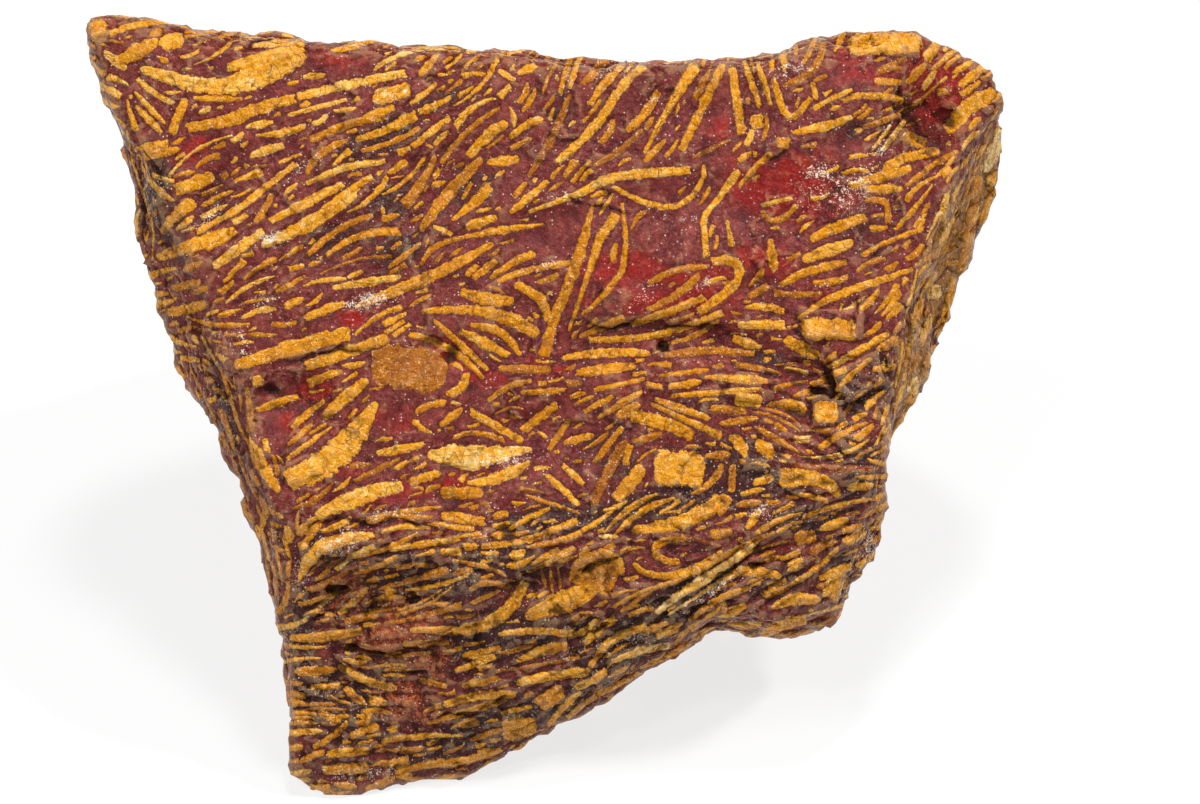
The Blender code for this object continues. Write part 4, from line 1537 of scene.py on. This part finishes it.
# Thin pale veins of quartz and thin dark cracks
VEIN_LINE = (0.016, 0.004)
VEIN_PLACES = (0.50, 0.62)
CRACK_LEVEL = 0.47
CRACK_LINE = (0.015, 0.004)
CRACK_PLACES = (0.46, 0.60)
vein = (grain(shifted, 1.5, 3.0, 0.6, 0.6) - 0.5).size().rise(*VEIN_LINE)
vein = vein * grain(place, 2.2).rise(*VEIN_PLACES)
crack = (grain(place, 2.0, 3.0, 0.62, 0.4) - CRACK_LEVEL).size().rise(*CRACK_LINE)
crack = crack * grain(shifted, 2.6).rise(*CRACK_PLACES)

# The colours of the ground, then each coat of it with its share
MAROON = paint(104, 31, 31)
DUSTY_MAROON = paint(136, 56, 49)
DEEP_MAROON = paint(66, 22, 23)
ROSE = paint(172, 98, 82)
GREY_BROWN = (paint(48, 26, 28), paint(92, 62, 56))
BRICK = (paint(104, 36, 26), paint(190, 92, 42))
BRIGHT_RED = paint(152, 24, 18)
TAN = paint(158, 108, 50)
# Painted shade on the broad face; on the other sides, random darker ground
SHADE_AND_DARK_GROUND = paint(50, 20, 15)
GAP_SHADE = paint(54, 23, 22)
RIM_SHADE = paint(44, 17, 14)
CRACK_BROWN = paint(52, 22, 12)
TAN_DUST = paint(206, 158, 96)
# Cream of the painted highlights, sparse glints on grain peaks
PAINTED_GLINT_CREAM = paint(246, 216, 164)
PIT_BROWN = paint(70, 30, 10)
VEIN_CREAM = paint(226, 206, 176)
# White of quartz frost and specks; on the specks it is also a painted glint
QUARTZ_AND_GLINT_WHITE = paint(236, 222, 200)
# Colour of the painted shade in the hollows and cracks
PAINTED_HOLLOW_SHADE = paint(34, 14, 9)
# Cream of the painted highlight on ridges
PAINTED_RIDGE_CREAM = paint(236, 196, 140)
CREASE_BROWN = paint(70, 28, 10)

grey_ground = tint(medium.rise(0.54, 0.76), *GREY_BROWN)
brick_ground = tint((fine * 0.6 + medium * 0.4).rise(0.42, 0.60), *BRICK)
ground = coated(
    tint(coarse.rise(0.35, 0.65), MAROON, DUSTY_MAROON),
    (medium.rise(0.56, 0.32) * 0.5, DEEP_MAROON),
    (medium.rise(0.58, 0.74) * 0.25, ROSE),
    (grey * 0.85, grey_ground),
    (brick * 0.85, brick_ground),
    (red * 0.85, BRIGHT_RED),
    (tan * 0.8, TAN),
    # painted shade on the broad face, random darker ground on the other sides
    (dark * 0.7, SHADE_AND_DARK_GROUND),
    (narrow_gap * (0.26 + grey * 0.34), GAP_SHADE),
    (ground_rim * (0.55 - broad_share * 0.35), RIM_SHADE),
)

# Specks: small round grains of quartz that are also painted glints, more of them where the ground is grey or
# frosted
SPECK_CELL = 0.31
SPECK_UNEVEN = 0.25
SPECK_SIZE = (0.24, 0.10)
cell_kind = {"voronoi_dimensions": "3D", "feature": "F1"}
cell_place = {"Vector": place, "Scale": 1 / SPECK_CELL}
speck_apart = Field.node("ShaderNodeTexVoronoi", cell_kind, cell_place, "Distance")
speck_draw = speck_apart.beside("Color").parts()[0]
speck_share = 0.25 + grey * 0.30 + frost * 0.2 + tan * 0.1 - on_plate * 0.06
speck = (speck_apart + fine_off * SPECK_UNEVEN).rise(*SPECK_SIZE) * speck_draw.below(speck_share)

# Painted shade in the hollows and along the cracks, darker lines in the creases, painted highlights on the
# ridges and on grain peaks
CRACK_UNEVEN = 0.12
CRACK_WIDTH = (0.13, 0.04)
NEAR_HOLLOW = (0.004, 0.055)
WIDE_HOLLOW = (0.03, 0.30)
RIDGE_HIGHLIGHT_LIMITS = (-0.006, -0.05)
CREASE_LINE = (0.05, 0.0)
PAINTED_GLINT_LIMITS = (0.585, 0.635)
PIT_LIMITS = (0.41, 0.35)
crack_line = (crack_apart + fine_off * CRACK_UNEVEN).rise(*CRACK_WIDTH)
# Painted shade: darker in the hollows of the mesh and along the cracks of the broad face
shade = near_hollow.rise(*NEAR_HOLLOW) * 0.5 + wide_hollow.rise(*WIDE_HOLLOW) * 0.4
shade = shade.most(crack_line * 0.85)
# Painted highlight: the colour is paler on ridges that stand above the surface round them
painted_ridge_highlight = near_hollow.rise(*RIDGE_HIGHLIGHT_LIMITS)
peel = grain(place, 0.32, 3.0, 0.6)
crease = (grain(shifted, 0.75, 3.0, 0.55, 0.3) - 0.5).size().rise(*CREASE_LINE)
# Painted highlights: sparse pale glints where the fine grain peaks, more of them on the plates
painted_glint = (fine * 0.7 + medium * 0.3).rise(*PAINTED_GLINT_LIMITS)
small_pit = fine.rise(*PIT_LIMITS)
surface = coated(
    ground,
    # plates give way where the shade patches are painted
    (on_plate * (1.0 - dark * 0.45) * (1.0 - brick * 0.35), plate_colour),
    (crack * 0.5, CRACK_BROWN),
    (tan * 0.12, TAN_DUST),
    (painted_glint * (0.12 + on_plate * 0.36), PAINTED_GLINT_CREAM),
    (small_pit * 0.32, PIT_BROWN),
    (vein * (frost * 0.9 + grey * 0.25), VEIN_CREAM),
    (white * 0.85, QUARTZ_AND_GLINT_WHITE),
    (speck * 0.75, QUARTZ_AND_GLINT_WHITE),
    (shade, PAINTED_HOLLOW_SHADE),
    (painted_ridge_highlight * 0.16, PAINTED_RIDGE_CREAM),
    (crease * 0.18, CREASE_BROWN),
)
# Painted light and shade of the fine relief: the colour is made lighter where the bump grain stands high and
# darker where it sinks
painted_relief_light = scaled(surface, 0.80 + peel * 0.44 + fine_off * 0.18)

# Heights in mm of what is too fine for the mesh, then the gloss
height = (peel - 0.5) * 0.16 + fine_off * 0.045
height = height + edge.rise(0.0, -0.22) * 0.05 - ground_rim * 0.02 + speck * 0.02 - crack * 0.06
height = height - crease * 0.035 - crack_line * 0.08 - plate_break * 0.02
rough = 0.12 + medium_off * 0.16 - speck * 0.03 + shade * 0.30
gloss_factor = gloss_share + medium_off * 0.6 - shade * 0.4
DULL_SHINE = 0.03
GLOSSY_SHINE = 0.22
bump = Field.node("ShaderNodeBump", {}, {"Distance": MM, "Strength": 1.0, "Height": height}, "Normal")
shaders = {}
for slot, level in ((1, DULL_SHINE), (2, GLOSSY_SHINE)):
    values = {"Normal": bump, "Base Color": painted_relief_light, "Roughness": rough, "Specular IOR Level": level}
    shaders[slot] = Field.node("ShaderNodeBsdfPrincipled", {}, values)
both = Field.node("ShaderNodeMixShader", {}, {"Fac": gloss_factor, **shaders})
Field.node("ShaderNodeOutputMaterial", {}, {"Surface": both})
skin.materials.clear()
skin.materials.append(jasper)
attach(stone, "root")
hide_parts("jasper_stone")

# The floor and the light
# A white table under wide soft lamps, bright enough that it reads as plain white.
# The table is not a part of the stone, and lies just under it.
FLOOR_HALF = 1.5
FLOOR_DROP = 0.00002
FLOOR_GREY = (0.18, 0.18, 0.18, 1)
FLOOR_ROUGHNESS = 0.9
FLOOR_GLOW = 0.78
WHITE = (1, 1, 1, 1)
SURROUNDINGS = 0.09
floor_mesh = bpy.data.meshes.new("floor")
table = bmesh.new()
bmesh.ops.create_grid(table, x_segments=1, y_segments=1, size=FLOOR_HALF)
bmesh.ops.translate(table, verts=table.verts, vec=(0, 0, -FLOOR_DROP))
table.to_mesh(floor_mesh)
table.free()
floor = in_scene("floor", floor_mesh)
floor_paint = bpy.data.materials.new("floor")
floor_paint.use_nodes = True
floor_shader = floor_paint.node_tree.nodes["Principled BSDF"]
floor_shader.inputs["Base Color"].default_value = FLOOR_GREY
floor_shader.inputs["Roughness"].default_value = FLOOR_ROUGHNESS
floor_shader.inputs["Specular IOR Level"].default_value = 0.0
floor_shader.inputs["Emission Color"].default_value = WHITE
floor_shader.inputs["Emission Strength"].default_value = FLOOR_GLOW
floor_mesh.materials.append(floor_paint)

world = bpy.data.worlds.new("studio")
bpy.context.scene.world = world
world.use_nodes = True
world.node_tree.nodes["Background"].inputs["Color"].default_value = WHITE
world.node_tree.nodes["Background"].inputs["Strength"].default_value = SURROUNDINGS

# Each lamp: place and size in metres, and power in watts
LAMPS = [
    ("lamp_left", (-0.50, -0.20, 0.70), 0.20, 3.0),
    ("lamp_right", (0.50, 0.05, 0.65), 0.10, 4.5),
    ("lamp_top", (0.05, 0.15, 0.80), 0.10, 3.4),
    ("lamp_front", (-0.21, -0.33, 0.66), 0.07, 1.2),
]
LIT_POINT = Vector((0, 0, 0.02))
for name, lamp_place, size, power in LAMPS:
    lamp_data = bpy.data.lights.new(name, "AREA")
    lamp_data.size = size
    lamp_data.energy = power
    aim(in_scene(name, lamp_data), lamp_place, LIT_POINT - Vector(lamp_place))

bpy.context.scene.view_settings.view_transform = "Standard"
